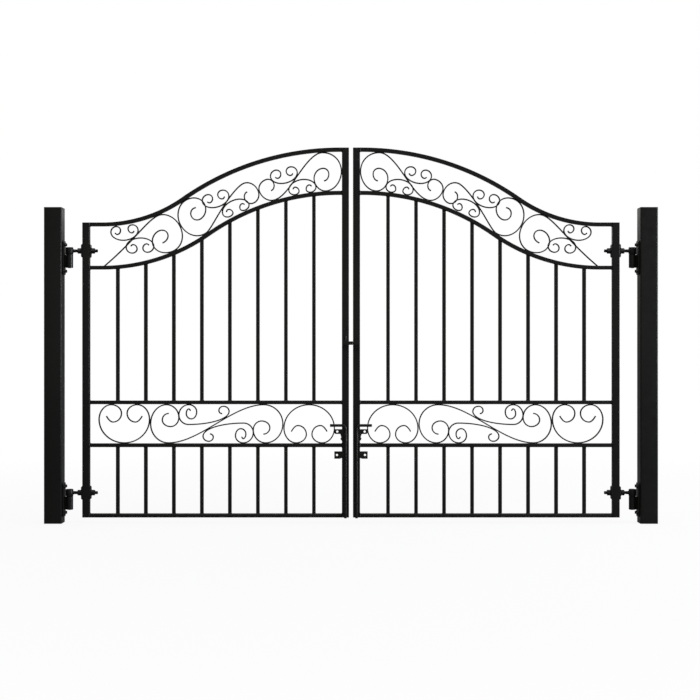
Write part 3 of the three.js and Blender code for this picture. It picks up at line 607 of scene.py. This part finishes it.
def arch_point(along, above):
    """Distance from the hanging stile and height of a place along and above the panel's centre line."""
    into, left = along - RUN_IN, ARCH_LENGTH - RUN_OUT - along
    if into <= 0:
        return along, ARCH_MID + above
    if left <= 0:
        return CLEAR - (ARCH_LENGTH - along), ARCH_MID + RISE + above
    if into < hollow_length:
        a, r = into / hollow_radius, hollow_radius - above
        return RUN_IN + r * sin(a), ARCH_MID + hollow_radius - r * cos(a)
    a, r = left / crown_radius, crown_radius + above
    return CLEAR - RUN_OUT - r * sin(a), ARCH_MID + RISE - crown_radius + r * cos(a)


def arch_height(distance, above):
    """Height of a line parallel to the panel's centre line, at a distance from the hanging stile."""
    hollow, crown = hollow_radius - above, crown_radius + above
    from_hollow, from_crown = max(distance - RUN_IN, 0), max(CLEAR - RUN_OUT - distance, 0)
    if from_hollow < hollow * sin(bend):
        return ARCH_MID + hollow_radius - sqrt(hollow**2 - from_hollow**2)
    return ARCH_MID + RISE - crown_radius + sqrt(crown**2 - from_crown**2)


def leaf_x(side, distance):
    """X of a place in a leaf, from its distance from the hanging stile."""
    return side * (RAIL_FROM - distance)


# ---------- Scrollwork: turning points [along, above, way] on a flat sheet ----------

LEVEL, UP, FREE = Vector((1, 0)), Vector((0, 1)), Vector((0, 0))
ROUND = 0.5523  # handles of a curve that is nearly a quarter of a circle
REST = 109.0  # where a bar rests against a rail
TOP_SHEET, MID_SHEET = 1517.0, 1430.0
FINE, FINE_LINK = 14, 40
FIRST_MEET, SECOND_MEET = (533.5, 6), (1025, -36)  # of the top panel's three bars
MID_CENTRE, MID_MEETS, HEART_HALF = 716.0, (341.5, 1098.0), 143.0
AT_REST = 0.01
BAR_EDGE, END_ROUND = 0.9, 0.6
MEET_REACH, MEETS_APART = 5.0, 40.0
TACK_SIZE = 2.0
SOFT = 60  # degrees, below which a weld's faces blend


def scroll_line(turns, shares=(ROUND, ROUND)):
    """A bar's centre line: curves from turn to turn, with the handles' shares for its long links."""
    points = [Vector(turns[0][:2])]
    for (ax, ay, a_way), (bx, by, b_way) in zip(turns, turns[1:]):
        a, b = Vector((ax, ay)), Vector((bx, by))
        span = b - a
        link = a_way == b_way or a_way == FREE
        leave = a + span * a_way * (shares[0] if link else ROUND)
        arrive = b - span * b_way * (shares[1] if link else ROUND)
        count = FINE_LINK if link and span.length > REST else FINE
        for k in range(1, count + 1):
            t = k / count
            s = 1 - t
            points.append(a * s**3 + leave * 3 * s * s * t + arrive * 3 * s * t * t + b * t**3)
    return points


def c_scroll(half):
    """A bar that is the mirror of itself about where its half starts."""
    mirrored = [(-along, above, way) for along, above, way in half[:0:-1]]
    return scroll_line(mirrored + half)


def small_scroll(along, above, tilt=0.0, below=False, reach=84.0, spread=76.0):
    """A small C with its back at a place, curling up from it or below it, tilted by degrees."""
    half = [
        (0, 0, LEVEL), (spread, 50, UP), (spread - 34, reach, LEVEL), (spread - 60, 60, UP),
        (spread - 38, 36, LEVEL), (spread - 26, 45, FREE),
    ]
    flip, a = (-1 if below else 1), radians(tilt)
    across, up = Vector((cos(a), sin(a))), Vector((-sin(a), cos(a))) * flip
    return [Vector((along, above)) + across * p.x + up * p.y for p in c_scroll(half)]


def heart_scroll(along, flip):
    """A C as wide as the panel is high, resting on both rails."""
    half = [
        (0, -REST, LEVEL), (HEART_HALF, 25, UP), (74, REST, LEVEL), (16, 60, UP), (64, 10, LEVEL),
        (101, 44, FREE),
    ]
    return [Vector((along + p.x, flip * p.y)) for p in c_scroll(half)]


def top_scrolls(nudge):
    """The top panel's bars by group. Two bars that meet each stand off their meeting place by a nudge."""
    first, second = FIRST_MEET, SECOND_MEET
    hanging = scroll_line([
        (80, -REST - 6, FREE), (440, REST, LEVEL), (first[0] - nudge, first[1], UP),
        (438, -REST, LEVEL), (351, -35, UP), (412, 27, LEVEL), (449, -5, UP), (404, -44, LEVEL),
    ], (0, 0.35))
    middle = scroll_line([
        (664, 43, LEVEL), (650, 46, LEVEL), (615, 10, UP), (652, -26, LEVEL), (715, 38, UP),
        (635, REST, LEVEL), (first[0] + nudge, first[1], UP), (630, -REST, LEVEL), (960, 37, LEVEL),
        (second[0] - nudge, second[1], UP), (970, -87, LEVEL), (932, -50, UP), (961, -15, LEVEL),
    ], (0.18, 0.18))
    meeting = scroll_line([
        (1094, -53, LEVEL), (1121, -20, UP), (1087, 15, LEVEL), (second[0] + nudge, second[1], UP),
        (1097, -REST, LEVEL), (1410, REST, LEVEL), (TOP_SHEET - nudge, 0, UP), (1420, -REST, LEVEL),
        (1355, -40, UP), (1410, 20, LEVEL), (1442, -12, UP), (1412, -51, LEVEL),
    ], (0.38, 0.26))
    small = {
        "hanging": [small_scroll(206, 24, -2, reach=81, spread=84), small_scroll(288, 21, -10, below=True)],
        "middle": [small_scroll(774, -20, -12), small_scroll(862, -27, -3, below=True, reach=76, spread=84)],
        "meeting": [small_scroll(1189, -32), small_scroll(1279, -30, below=True, reach=78, spread=82)],
    }
    return {group: [bar, *small[group]] for group, bar in zip(small, (hanging, middle, meeting))}


def long_scroll(centre, left_end, right_end):
    """A long S with a branch on each side; the right half is the left one turned about the centre."""

    def half_turn(point):
        return 2 * centre - point[0], -point[1], point[2]

    def curl(end):
        return [
            (447, 59, LEVEL), (411, 22, UP), (458, -16, LEVEL), (505, 36, UP), (435, REST, LEVEL),
            (end, 0, UP), (445, -REST, LEVEL),
        ]

    branch = [
        (572, 76, LEVEL), (562, 85, LEVEL), (547, 58, UP), (576, 28, LEVEL), (606, 68, UP),
        (562, REST, LEVEL), (505, 50, UP), (560, -4, LEVEL), (790, 70, UP), (758, 100, LEVEL),
        (732, 76, UP), (750, 58, LEVEL),
    ]
    even = (0.33, 0.33)
    turned = [half_turn(p) for p in curl(2 * centre - right_end)][::-1]
    return [
        scroll_line(curl(left_end) + turned, even),
        scroll_line(branch, even),
        scroll_line([half_turn(p) for p in branch], even),
    ]


def mid_scrolls(nudge):
    """The mid panel's bars by group, with the same nudge."""
    left, right = MID_MEETS
    return {
        "hanging": [heart_scroll(left - nudge - HEART_HALF, 1)],
        "middle": long_scroll(MID_CENTRE, left + nudge, right - nudge),
        "meeting": [heart_scroll(right + nudge + HEART_HALF, -1)],
    }


def scroll_group(name, side, body, lines, placed):
    """The bars of one group, with tacks of weld where a bar rests against a rail or crosses another."""
    bars, welds = Shape(), Shape()
    section = rectangle(SCROLL_COATED, SCROLL_DEPTH, BAR_EDGE, 3)
    paths = []
    for line, place in zip(lines, placed):
        path = [Vector((leaf_x(side, distance), 0, z)) for distance, z in place]
        bars.sweep(section, path, over=END_ROUND)
        paths.append(path)
        for i in range(1, len(line) - 1):
            top, low = line[i].y >= REST - AT_REST, line[i].y <= AT_REST - REST
            if (top or low) and abs(line[i].y) >= max(abs(line[i - 1].y), abs(line[i + 1].y)):
                tangent = (path[i + 1] - path[i - 1]).normalized()
                out = Vector((-tangent.z, 0, tangent.x))
                if (out.z > 0) != top:
                    out = -out
                for way in (-1, 1):
                    spot = path[i] + out * (SCROLL_THICK / 2 - END_ROUND) + tangent * (way * 3.4)
                    welds.tack(spot, (0, 1, 0), out, TACK_SIZE, SCROLL_DEPTH - 1)
    for i, path in enumerate(paths):
        for other in paths[i + 1:]:
            for joint in crossings(path, other):
                for y in (-1, 1):
                    spot = joint + Vector((0, y * (SCROLL_DEPTH / 2 - 1.2), 0))
                    welds.tack(spot, (0.6, 0, 0.8), (0, y, 0), TACK_SIZE, 8.0)
    bars.piece(f"{name}_bars", body, COAT, (name,))
    welds.piece(f"{name}_welds", body, WELD, smooth=SOFT)


def crossings(path, other):
    """Places where two bars come closest, one for each meeting."""
    near = []
    for p in path[::2]:
        q = min(other[::2], key=lambda o: (o - p).length_squared)
        if (q - p).length < MEET_REACH:
            near.append(((q - p).length, (p + q) / 2))
    found = []
    for _, spot in sorted(near, key=lambda item: item[0]):
        if all((spot - f).length > MEETS_APART for f in found):
            found.append(spot)
    return found


# ---------- Leaf ----------

STILE_CHAMFER = 1.4
BAR_JOINT = 0.1
RAIL_WELD = 2.8


def xz_place(y_from):
    """Puts a slab's outline in the XZ plane, growing toward +Y."""
    return lambda a, b, depth: Vector((a, y_from + depth, b))


def add_pads(stile, x, z):
    """The sloped pads on both sides of a hanging stile at a hinge, as one slab through it."""
    half = STILE / 2
    for way in (-1, 1):
        root, lip, edge = x + way * (half - 0.4), x + way * (half + PAD_LIP), x + way * (half + PAD)
        lower = [(root, z - PAD_HALF), (lip, z - PAD_HALF), (edge, z - PAD_HALF + PAD_SLOPE)]
        upper = [(a, 2 * z - b) for a, b in reversed(lower)]
        stile.slab(lower + upper, xz_place(-half + 0.2), STILE - 0.4, 0.8)


def make_stiles(leaf, side):
    tube = rectangle(STILE, STILE, STILE_CORNER, 5)
    cap = rectangle(STILE - 2 * GAP, STILE - 2 * GAP, STILE_CORNER, 5)
    for kind, x, top in (("hanging", HANGING_X, HANGING_TOP), ("meeting", MEETING_X, MEETING_TOP)):
        x *= side
        stile = Shape().bar(tube, (x, 0, CLEARANCE), (x, 0, top - CAP - SEAT), over=0.4)
        stile.bar(cap, (x, 0, top - CAP - 2 * SEAT), (x, 0, top), over=STILE_CHAMFER)
        if kind == "hanging":
            for z in HINGE_LEVELS.values():
                add_pads(stile, x, z)
        stile.piece(f"{leaf}_{kind}_stile_tube", leaf, COAT, (f"{leaf}_{kind}_stile",))


def make_rails(leaf, side, welds):
    section = rectangle(RAIL, STILE, RAIL_CORNER, 4)
    outline = rectangle(RAIL, STILE, RAIL_CORNER, 2)()
    start, end = leaf_x(side, -SEAT), leaf_x(side, CLEAR + SEAT)
    levels = []
    for rail, bottom, replaced in (
        ("bottom_rail", CLEARANCE, "bottom_rail"),
        ("lower_mid_rail", LOWER_MID, "lower_bars"),
        ("upper_mid_rail", UPPER_MID, "upper_bars"),
    ):
        z = bottom + RAIL / 2
        bar = Shape().bar(section, (start, 0, z), (end, 0, z), over=BAR_JOINT)
        bar.piece(f"{leaf}_{rail}_tube", leaf, COAT, (f"{leaf}_{replaced}",))
        levels.append((z, z))
    curved = hollow_length + crown_length
    stations = [-SEAT, *(RUN_IN * k / RUN_STEPS for k in range(1, RUN_STEPS))]
    stations += [RUN_IN + curved * k / ARCH_STEPS for k in range(ARCH_STEPS + 1)]
    stations += [ARCH_LENGTH + SEAT]
    for rail, way in (("top_arched_rail", 1), ("second_arched_rail", -1)):
        above = way * (PANEL + RAIL) / 2
        line = [arch_point(along, above) for along in stations]
        arch = Shape().sweep(section, [(leaf_x(side, distance), 0, z) for distance, z in line])
        arch.piece(f"{leaf}_{rail}_tube", leaf, COAT, (f"{leaf}_{rail}",))
        levels.append((ARCH_MID + above, ARCH_MID + RISE + above))
    for at_hanging, at_meeting in levels:
        for x, z, way, stile_top in (
            (leaf_x(side, 0), at_hanging, -side, HANGING_TOP),
            (leaf_x(side, CLEAR), at_meeting, side, MEETING_TOP),
        ):
            first = len(welds.points)
            welds.weld(outline, lambda a, b, x=x, z=z: Vector((x, b, z + a)), (way, 0, 0), RAIL_WELD)
            for point in welds.points[first:]:
                point.z = min(max(point.z, CLEARANCE - FLUSH), stile_top + FLUSH)


def make_bars(leaf, side, welds):
    section = rectangle(BAR, BAR, BAR_CORNER, 4)
    outline = rectangle(BAR, BAR, BAR_CORNER, 2)()
    under = -PANEL / 2 - RAIL
    upper, lower = Shape(), Shape()
    for i in range(1, BARS + 1):
        x = leaf_x(side, CLEAR * i / (BARS + 1))

        def arch_seat(a, b, x=x):
            return Vector((x + a, b, arch_height(RAIL_FROM - side * (x + a), under)))

        foot = [Vector((x + a, b, UPPER_MID + RAIL - SEAT)) for a, b in section()]
        head = [arch_seat(a, b) + Vector((0, 0, SEAT)) for a, b in section()]
        upper.loft([foot, head])
        lower.bar(section, (x, 0, CLEARANCE + RAIL - SEAT), (x, 0, LOWER_MID + SEAT), over=BAR_JOINT)
        welds.weld(outline, arch_seat, (0, 0, -1))
        for z, way in ((UPPER_MID + RAIL, 1), (LOWER_MID, -1), (CLEARANCE + RAIL, 1)):
            welds.weld(outline, lambda a, b, x=x, z=z: Vector((x + a, b, z)), (0, 0, way))
    upper.piece(f"{leaf}_upper_bar_tubes", leaf, COAT)
    lower.piece(f"{leaf}_lower_bar_tubes", leaf, COAT)


def make_leaf(name, side):
    leaf = f"{name}_leaf"
    welds = Shape()
    make_stiles(leaf, side)
    make_rails(leaf, side, welds)
    make_bars(leaf, side, welds)
    welds.piece(f"{leaf}_frame_welds", leaf, WELD, smooth=SOFT)

    middle = LOWER_MID + RAIL + MID_PANEL / 2

    def mid_point(along, above):
        return along, middle + above

    for panel, height, length, sheet, scrolls, place in (
        ("top", PANEL, ARCH_LENGTH, TOP_SHEET, top_scrolls, arch_point),
        ("mid", MID_PANEL, CLEAR, MID_SHEET, mid_scrolls, mid_point),
    ):
        stretch = length / sheet
        lift = (height / 2 - GAP - SCROLL_THICK / 2) / REST
        nudge = (SCROLL_THICK + GAP) / 2 / stretch
        for group, lines in scrolls(nudge).items():
            placed = [[place(p.x * stretch, p.y * lift) for p in line] for line in lines]
            scroll_group(f"{leaf}_{panel}_scroll_{group}", side, leaf, lines, placed)


# ---------- Posts ----------


def make_post(name, side):
    x = side * POST_X
    tube = rectangle(POST, POST, POST_CORNER, 8)
    seam = POST_TOP - CAP - GAP
    post = Shape().bar(tube, (x, 0, 0), (x, 0, seam), over=0.3)
    post.piece(f"{name}_post_tube", "posts", COAT, (f"{name}_post",))
    cap = Shape().bar(tube, (x, 0, seam), (x, 0, POST_TOP), over=1.0)
    cap.piece(f"{name}_post_top_plate", "posts", COAT, (f"{name}_post_cap",))


# ---------- Hinges: lengths from the pin's axis, heights from the eye's middle ----------

PLATE_BACK, PLATE = 36.0, 8.0
PLATE_HALF, PLATE_CORNER = 32.0, 11.0
PLATE_BELOW, PLATE_ABOVE = 135.0, 57.0
PLATE_BOLTS = ((-20, -114), (-20, 36), (20, -114), (20, 36))
EYE_HALF, EYE_RADIUS = 20.5, 21.0
KNUCKLE, KNUCKLE_RADIUS = 75.0, 20.0
KNUCKLE_WELD = 18.6  # from the axis
BORE = 8.4
WEB, WEB_END, WEB_INSET = 12.0, 12.0, 2.0
PIN, PIN_CORE, PIN_CHAMFER = 8.0, 2.0, 1.4
ROD, SHANK = 9.0, 11.4
THREAD_FROM, THREAD_PITCH, THREAD_DEPTH = 31.0, 2.5, 0.9
STILE_FROM = 75.0
ROD_PAST_NUT = 16.0
NUT, NUT_CORNER, NUT_BORE = 18.0, 17.3, 9.15
WASHER, WASHER_RADIUS, WASHER_BORE = 3.5, 18.5, 9.6


def ring_profile(radius, low, high, inner, outer):
    """Half the section of a bored ring, with its inner and outer edges chamfered."""
    lower = [(BORE, low + inner), (BORE + inner, low), (radius - outer, low), (radius, low + outer)]
    return lower + [(r, low + high - z) for r, z in reversed(lower)]


def plate_bolt(shape, x, y, z, way):
    """A washer and a hexagon head on a plate's face."""
    washer = [(0.5, 0), (10.6, 0), (11, 0.4), (11, 1.6), (10.6, 2.0), (0.5, 2.0)]
    shape.turned(washer, (x, y, z), (way, 0, 0))
    shape.bar(hexagon(9.5), (x + way * 1.8, y, z), (x + way * 9, y, z), over=0.9)


def make_bracket(name, way, axis, low, high):
    """Back plate, web and lower knuckle, with the plate's bolts and the welds between them."""
    z, middle = axis.z, axis.z + (low + high) / 2
    back = axis.x - way * (PLATE_BACK - GAP)
    face = back + way * PLATE
    bracket = Shape()
    below, above = z - PLATE_BELOW, z + PLATE_ABOVE
    outline = [(-PLATE_HALF, below), (PLATE_HALF, below), (PLATE_HALF, above), (-PLATE_HALF, above)]
    outline = rounded_polygon(outline, PLATE_CORNER, 7)
    bracket.slab(outline, lambda a, b, depth: Vector((back + way * depth, a, b)), PLATE, 1.0)
    start, end = face - way, axis.x - way * WEB_END
    foot, head = z + low + WEB_INSET, z + high - WEB_INSET
    web = rounded_polygon([(start, foot), (end, foot), (end, head), (start, head)], 0.8, 2)
    bracket.slab(web, xz_place(-WEB / 2), WEB, 0.8)
    knuckle = ring_profile(KNUCKLE_RADIUS, low, high, 0.8, 1.4)
    bracket.turned(knuckle, axis, (0, 0, 1), bored=True, steps=56)
    for y, level in PLATE_BOLTS:
        plate_bolt(bracket, face, y, z + level, way)
    bracket.piece(f"{name}_bracket_body", "posts", COAT, (f"{name}_bracket",))

    weld = Shape()
    joint = rectangle(KNUCKLE - 2 * WEB_INSET, WEB, 1.0, 2)()
    weld.weld(joint, lambda a, b: Vector((face, b, middle + a)), (way, 0, 0), 3.4)
    for y in (-1, 1):
        spot = Vector((axis.x - way * KNUCKLE_WELD, y * 7.4, middle))
        weld.tack(spot, (0, 0, 1), (0, y, 0), 3.0, KNUCKLE - 8)
    weld.piece(f"{name}_bracket_weld", "posts", WELD, smooth=SOFT)


def make_hinge(name, side, z):
    way = -side
    axis = Vector((side * HINGE_X, 0, z))
    low, high = -EYE_HALF - GAP - KNUCKLE, -EYE_HALF - GAP
    make_bracket(name, way, axis, low, high)

    top, bottom = EYE_HALF - 1, low - 2
    tip = PIN - PIN_CHAMFER
    lower = [(PIN_CORE, bottom), (tip, bottom), (PIN, bottom + PIN_CHAMFER)]
    upper = [(PIN, top - PIN_CHAMFER), (tip, top), (PIN_CORE, top)]
    pin = Shape().turned(lower + upper, axis, (0, 0, 1))
    pin.piece(f"{name}_pin_bar", "posts", PIN_STEEL, (f"{name}_pin",))

    body = f"{'left' if side < 0 else 'right'}_leaf"
    eye = Shape()
    eye.turned(ring_profile(EYE_RADIUS, -EYE_HALF, EYE_HALF, 0.9, 1.8), axis, (0, 0, 1), bored=True, steps=56)
    shank = [(1, 14), (SHANK, 14), (SHANK, 21.2), (ROD + 0.6, 24.5), (ROD, 28), (ROD, 33), (1, 33)]
    eye.turned(shank, axis, (way, 0, 0))
    outer_face = STILE_FROM - PAD - GAP
    inner_face = STILE_FROM + STILE + PAD + GAP
    rod_end = inner_face + NUT + WASHER + ROD_PAST_NUT
    eye.thread(ROD, axis, (way, 0, 0), THREAD_FROM, rod_end, THREAD_PITCH, THREAD_DEPTH)
    eye.piece(f"{name}_eye_rod", body, FITTING, (f"{name}_eye",), smooth=50)

    inner, outer = WASHER_BORE + 0.3, WASHER_RADIUS - 0.4
    washer = [
        (WASHER_BORE, 0.3), (inner, 0), (outer, 0), (WASHER_RADIUS, 0.4),
        (WASHER_RADIUS, WASHER - 0.6), (outer - 0.2, WASHER), (inner, WASHER), (WASHER_BORE, WASHER - 0.3),
    ]
    for kind, start, away in (("outer", outer_face, -way), ("inner", inner_face, way)):
        origin = axis + Vector((way * start, 0, 0))
        nut = Shape().turned(washer, origin, (away, 0, 0), bored=True, steps=48)
        seat = origin + Vector((away * (WASHER + 0.05), 0, 0))
        nut.nut(NUT_CORNER, NUT_BORE, seat, (away, 0, 0), NUT - 0.1)
        nut.piece(f"{name}_{kind}_hexagon_nut", body, FITTING, (f"{name}_{kind}_nut",), smooth=30)


# ---------- Drop bolts, raised ----------

BOLT_RADIUS, BOLT_BEND, BOLT_END = 8.0, 17.0, 2.5
BOLT_OUT = 18.0  # from the stile's face
HANDLE, HANDLE_REACH = 554.0, 87.0
COLLAR, COLLAR_BORE, COLLAR_BOTTOM = 12.0, 8.02, 464.0
EAR, EAR_BOTTOM, EAR_TOP = 6.0, 506.0, 533.0
EAR_REACH, EAR_CORNER, EAR_HOLE, HOLE_REACH = 63.0, 6.0, 6.25, 46.0
GUIDE, UPPER_GUIDE_TOP = 5.0, 363.0


def bolt_line(x, y, side, bottom):
    """Centre line of the bent rod: up, round the bend and out along the handle."""
    straight = HANDLE - BOLT_BEND - bottom
    path = [(x, y, bottom + straight * k / 12) for k in range(12)]
    for k in range(13):
        a = pi / 2 * k / 12
        path.append((x + side * BOLT_BEND * (1 - cos(a)), y, HANDLE - BOLT_BEND * (1 - sin(a))))
    reach = HANDLE_REACH - 2 - BOLT_BEND
    return path + [(x + side * (BOLT_BEND + reach * k / 6), y, HANDLE) for k in range(1, 7)]


def make_drop_bolt(name, side):
    body, leaf = f"{name}_drop_bolt", f"{name}_leaf"
    guide_low, guide_high = mm_box(f"{body}_lower_guide")
    x, y = (guide_low.x + guide_high.x) / 2, -STILE / 2 - BOLT_OUT
    line = bolt_line(x, y, side, mm_box(body)[0].z + BOLT_END)
    rod = Shape().sweep(circle(BOLT_RADIUS, 32), line, over=2.4)
    rod.piece(f"{body}_round_bar", body, COAT, (body,))

    lug = Shape()
    rim, inner, bottom, top = COLLAR - 0.8, COLLAR_BORE + 0.58, COLLAR_BOTTOM, EAR_BOTTOM + 1.2
    ring = [
        (COLLAR_BORE, bottom + 0.5), (inner, bottom), (rim, bottom), (COLLAR, bottom + 0.8),
        (COLLAR, top - 0.8), (rim, top), (inner, top), (COLLAR_BORE, top - 0.5),
    ]
    lug.turned(ring, (x, y, 0), (0, 0, 1), bored=True, steps=48)
    toe = [
        (11, bottom), (18, bottom), (29, bottom + 14), (23.5, bottom + 24), (30, EAR_BOTTOM + 1),
        (11, EAR_BOTTOM + 1),
    ]
    toe = rounded_polygon([(x + side * a, b) for a, b in toe], [0, 1.5, 2, 3, 0, 0], 3)
    lug.slab(toe, xz_place(y - EAR / 2), EAR, 0.7)
    ear = [
        (7.5, EAR_BOTTOM), (EAR_REACH - EAR_CORNER, EAR_BOTTOM), (EAR_REACH, EAR_BOTTOM + EAR_CORNER),
        (EAR_REACH, EAR_TOP), (7.5, EAR_TOP),
    ]
    ear = rounded_polygon([(x + side * a, b) for a, b in ear], [0, 2, 2, 2, 0], 3)
    hole = (x + side * HOLE_REACH, (EAR_BOTTOM + EAR_TOP) / 2)
    lug.holed_slab(ear, hole, EAR_HOLE, xz_place(y - EAR / 2), EAR, 0.7)
    lug.piece(f"{body}_padlock_ear", body, COAT)

    welds = Shape()
    for way in (-1, 1):
        spot = (x + side * 8.6, y + way * 4.2, hole[1] + 1)
        welds.tack(spot, (0, 0, 1), (0, way, 0), TACK_SIZE, 18)
    welds.piece(f"{body}_ear_welds", body, WELD, smooth=SOFT)

    for guide in ("upper_guide", "lower_guide"):
        refined(f"{body}_{guide}", f"{body}_{guide}_plate", leaf, COAT)
    welds = Shape()
    for top in (guide_high.z, UPPER_GUIDE_TOP):
        for z, way in ((top, 1), (top - GUIDE, -1)):
            welds.tack((x, -STILE / 2 - 0.4, z + way * 0.3), (1, 0, 0), (0, -1, 0), TACK_SIZE, 34)
    welds.piece(f"{body}_guide_welds", leaf, WELD, smooth=SOFT)


# ---------- Slide latch ----------

LATCH_HEIGHT, LATCH_DEPTH = 20.0, 12.0
LATCH_PLATE = 4.0
STEM_X = -31.0
SCREW_INSET, SCREW_RADIUS = 8.0, 4.2
SCREW_DOME = ((1, 0), (1, 0.5), (0.88, 1.5), (0.62, 2.1))  # share of the radius, distance off the plate
SCREW_SOCKET = ((0.46, 2.2), (0.42, 0.8))
KNOB = [
    (0.4, 9.5), (3.2, 9.5), (3.2, 20), (4.6, 20), (5.6, 21), (6.5, 24), (6.2, 33), (6.5, 37), (5.4, 39.4),
    (3, 40), (0.4, 40),
]


def button_screw(shape, x, y, z):
    """A domed screw head with a hexagon socket, facing -Y."""
    rings = [(circle(SCREW_RADIUS * share, 24)(), depth) for share, depth in SCREW_DOME]
    rings += [(hexagon(SCREW_RADIUS * share, 24)(), depth) for share, depth in SCREW_SOCKET]
    shape.loft([[Vector((x + a, y - depth, z + b)) for a, b in ring] for ring, depth in rings])


def make_latch():
    cases = (("latch_housing", "left_leaf"), ("latch_keep", "right_leaf"))
    for node, body in cases:
        refined(node, f"{node}_case", body, COAT, 0.6)
    low, high = mm_box("latch_bolt")
    y, z = (low.y + high.y) / 2, low.z + LATCH_HEIGHT / 2
    section = rectangle(LATCH_HEIGHT, LATCH_DEPTH, 1.2, 4)
    bolt = Shape().bar(section, (low.x, y, z), (high.x, y, z), over=0.7)
    bolt.turned(KNOB, (STEM_X, y, z), (0, 0, 1), steps=32)
    bolt.piece("latch_bolt_slide", "latch_bolt", SLIDE, ("latch_bolt",))
    plate_face = -STILE / 2 - GAP - LATCH_PLATE
    for node, body in cases:
        low, high = mm_box(node)
        screws = Shape()
        for x in (low.x + SCREW_INSET, high.x - SCREW_INSET):
            for z in (low.z + SCREW_INSET, high.z - SCREW_INSET):
                button_screw(screws, x, plate_face + 0.05, z)
        screws.piece(f"{node}_screws", body, FITTING, smooth=30)


for name, side in (("left", -1), ("right", 1)):
    make_post(name, side)
    make_leaf(name, side)
    for place, z in HINGE_LEVELS.items():
        make_hinge(f"{name}_{place}_hinge", side, z)
    make_drop_bolt(name, side)
make_latch()

# ---------- Stage, in metres and watts ----------

FLOOR_RADIUS, FLOOR_DROP = 60.0, 0.0005
FLOOR_GREY = (0.86, 0.86, 0.86, 1)
GLOW_UNSEEN = 0.12  # of the floor's own light that reaches the steel
GLOW_NEAR, GLOW_NEAR_TO, GLOW_FROM = 0.92, 1.5, 5.5
AMBIENT, AMBIENT_COLOUR = 0.125, (1.0, 0.975, 0.93, 1)
SOFTBOXES = (
    ("top_softbox", (0, -0.5, 6.0), (0, 0, 0), (7, 5), 190, (1, 1, 1)),
    ("left_softbox", (-6.5, -1.5, 2.2), (0, 0, 1.0), (1.6, 3.0), 3, (1, 0.97, 0.93)),
    ("front_softbox", (-0.6, -9.5, 1.6), (-0.1, 0, 1.0), (9, 5), 32, (1, 0.97, 0.92)),
    ("right_softbox", (6.5, -1.8, 2.0), (0, 0, 1.0), (1.6, 3.2), 330, (0.84, 0.93, 1)),
    ("back_softbox", (0, 6.0, 4.0), (0, 0, 1.0), (6, 3), 45, (1, 1, 1)),
)
CAMERA = (-0.0055, -7.886, 0.980)
LENS, SENSOR = 71.5, 36.0


def show_mix(nodes, links, factor, first, second, output):
    """Puts a mix of two shaders on an output."""
    mix = nodes.new("ShaderNodeMixShader")
    for value, socket in zip((factor, first, second), mix.inputs):
        links.new(value, socket)
    links.new(mix.outputs[0], nodes[output].inputs["Surface"])


def make_floor():
    """A pale floor that lights itself, so that it stays pale under the dim studio light."""
    mesh = bpy.data.meshes.new("floor")
    work = bmesh.new()
    bmesh.ops.create_circle(work, cap_ends=True, segments=96, radius=FLOOR_RADIUS)
    work.to_mesh(mesh)
    work.free()
    floor = new_object("floor", mesh)
    floor.location.z = -FLOOR_DROP
    material = bpy.data.materials.new("pale_floor")
    nodes, links = tree_of(material)
    shader = nodes["Principled BSDF"]
    put(shader, {"Base Color": FLOOR_GREY, "Roughness": 0.9, "Specular IOR Level": 0.0})
    glow = nodes.new("ShaderNodeEmission")
    camera_ray = nodes.new("ShaderNodeLightPath").outputs["Is Camera Ray"]
    links.new(remap(nodes, links, camera_ray, 0.0, 1.0, GLOW_UNSEEN, 1.0), glow.inputs["Strength"])
    distance = nodes.new("ShaderNodeVectorMath")
    distance.operation = "LENGTH"
    links.new(nodes.new("ShaderNodeTexCoord").outputs["Object"], distance.inputs[0])
    fade = remap(nodes, links, distance.outputs["Value"], GLOW_NEAR_TO, GLOW_FROM, GLOW_NEAR, 1.0)
    show_mix(nodes, links, fade, shader.outputs[0], glow.outputs[0], "Material Output")
    mesh.materials.append(material)


def make_world():
    """White to the eye, with a dimmer studio for what the steel reflects."""
    world = bpy.data.worlds.new("studio")
    nodes, links = tree_of(world)
    seen = nodes["Background"]
    put(seen, {"Color": (1, 1, 1, 1), "Strength": 1.0})
    ambient = nodes.new("ShaderNodeBackground")
    put(ambient, {"Color": AMBIENT_COLOUR, "Strength": AMBIENT})
    camera_ray = nodes.new("ShaderNodeLightPath").outputs["Is Camera Ray"]
    show_mix(nodes, links, camera_ray, ambient.outputs[0], seen.outputs[0], "World Output")
    bpy.context.scene.world = world


def make_light(name, place, target, size, power, colour):
    data = bpy.data.lights.new(name, "AREA")
    data.shape = "RECTANGLE"
    data.size, data.size_y = size
    data.energy = power
    data.color = colour
    light = new_object(name, data)
    light.location = place
    light.rotation_euler = (Vector(target) - Vector(place)).to_track_quat("-Z", "Y").to_euler()


make_floor()
make_world()
for softbox in SOFTBOXES:
    make_light(*softbox)

camera_data = bpy.data.cameras.new("camera")
camera_data.sensor_width = SENSOR
camera_data.lens = LENS
camera = new_object("camera", camera_data)
camera.location = CAMERA
camera.rotation_euler = (pi / 2, 0, 0)
bpy.context.scene.camera = camera
bpy.context.scene.view_settings.view_transform = "Standard"
